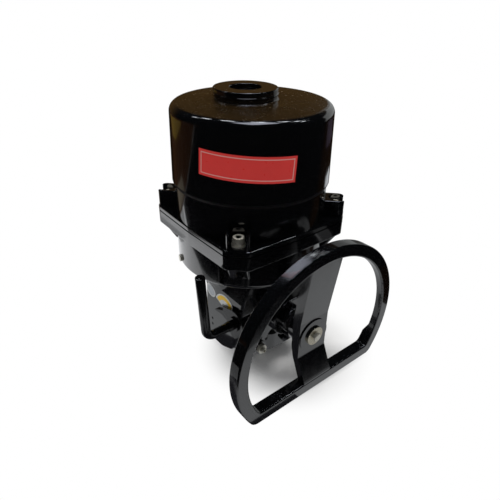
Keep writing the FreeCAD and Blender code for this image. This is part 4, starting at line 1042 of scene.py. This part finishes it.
def card(name, bm, rgb, glow=None):
    """Stage surface that shows only in reflections; a dome may glow low on the far side."""
    thing = stage_object(name, bm)
    s = Shader(name)
    s.set(Base_Color=(0.0, 0.0, 0.0), Specular_IOR_Level=0.0, Emission_Strength=1.0)
    colours = s.mix(s.noise(0.25, 2.0), rgb, shades(rgb, 0.7))
    if glow:
        low_down = s.remap(s.place()[2], 2.4, 1.2)
        far_side = s.remap(s.from_place("DOT_PRODUCT", (0.15, 0.20, 0.0)), 0.45, 0.85)
        colours = s.mix(s.maths("MULTIPLY", low_down, far_side), colours, glow)
    s.feed(colours, "Emission Color")
    s.material.cycles.emission_sampling = "NONE"
    thing.data.materials.append(s.material)
    thing.visible_camera = thing.visible_diffuse = False
    thing.visible_transmission = thing.visible_shadow = False


def flat_card(name, place, size, rgb):
    """Rectangular card in the X and Y of its place."""
    bm = bmesh.new()
    bmesh.ops.create_grid(bm, size=0.5, matrix=place @ Matrix.Diagonal((*size, 1, 1)))
    card(name, bm, rgb)


def lamp(name, place, studio):
    """Round soft lamp that faces the object and shows in no reflection."""
    data = bpy.data.lights.new(name, "AREA")
    data.shape = "DISK"
    data.size = studio.lamp_size
    data.energy = studio.lamp_power
    data.color = LAMP_COLOUR
    thing = in_scene(name, data)
    thing.location = place
    thing.rotation_euler = (Vector(LAMP_AIM) - place).to_track_quat("-Z", "Y").to_euler()
    thing.visible_glossy = False


# ---- panel and registration
class ACTUATOR_PT_looks(bpy.types.Panel):
    """Lists the pieces of the actuator"""
    bl_label = "Valve actuator"
    bl_idname = "ACTUATOR_PT_looks"
    bl_space_type = "VIEW_3D"
    bl_region_type = "UI"
    bl_category = "Actuator"

    def draw(self, context):
        for operator in OPERATORS:
            self.layout.operator(operator.bl_idname)
        for name in SETTINGS:
            group = getattr(context.scene, name)
            box = self.layout.box()
            box.label(text=name.replace("_", " "))
            for key in group.__annotations__:
                box.prop(group, key)


SETTINGS = {
    "actuator_paint": PaintSettings,
    # painted shade in the cover's step and painted sheen on its top
    "actuator_dust": ShadeAndSheenSettings,
    "actuator_wheel": WheelSettings,
    "actuator_lever": LeverSettings,
    "actuator_window": WindowSettings,
    "actuator_panel": PanelSettings,
    "actuator_stickers": StickerSettings,
    "actuator_screws": ScrewSettings,
    "actuator_studio": StudioSettings,
}
OPERATORS = (ACTUATOR_OT_castings, ACTUATOR_OT_metals, ACTUATOR_OT_soft_and_clear,
             ACTUATOR_OT_panel, ACTUATOR_OT_stickers, ACTUATOR_OT_cover_screws,
             ACTUATOR_OT_stop_screws, ACTUATOR_OT_wheel_screw, ACTUATOR_OT_lever_bar,
             ACTUATOR_OT_window_bead, ACTUATOR_OT_dial_marks, ACTUATOR_OT_stage)
CLASSES = (*SETTINGS.values(), *OPERATORS, ACTUATOR_PT_looks)


def register():
    for cls in CLASSES:
        bpy.utils.register_class(cls)
    for name, cls in SETTINGS.items():
        setattr(bpy.types.Scene, name, PointerProperty(type=cls))


def unregister():
    for name in SETTINGS:
        delattr(bpy.types.Scene, name)
    for cls in reversed(CLASSES):
        bpy.utils.unregister_class(cls)


def main():
    register()
    bpy.ops.actuator.castings()
    bpy.ops.actuator.metals()
    bpy.ops.actuator.soft_and_clear()
    bpy.ops.actuator.panel()
    bpy.ops.actuator.stickers()
    bpy.ops.actuator.cover_screws()
    bpy.ops.actuator.stop_screws()
    bpy.ops.actuator.wheel_screw()
    bpy.ops.actuator.lever_bar()
    bpy.ops.actuator.window_bead()
    bpy.ops.actuator.dial_marks()
    bpy.ops.actuator.stage()


if __name__ == "__main__":
    main()
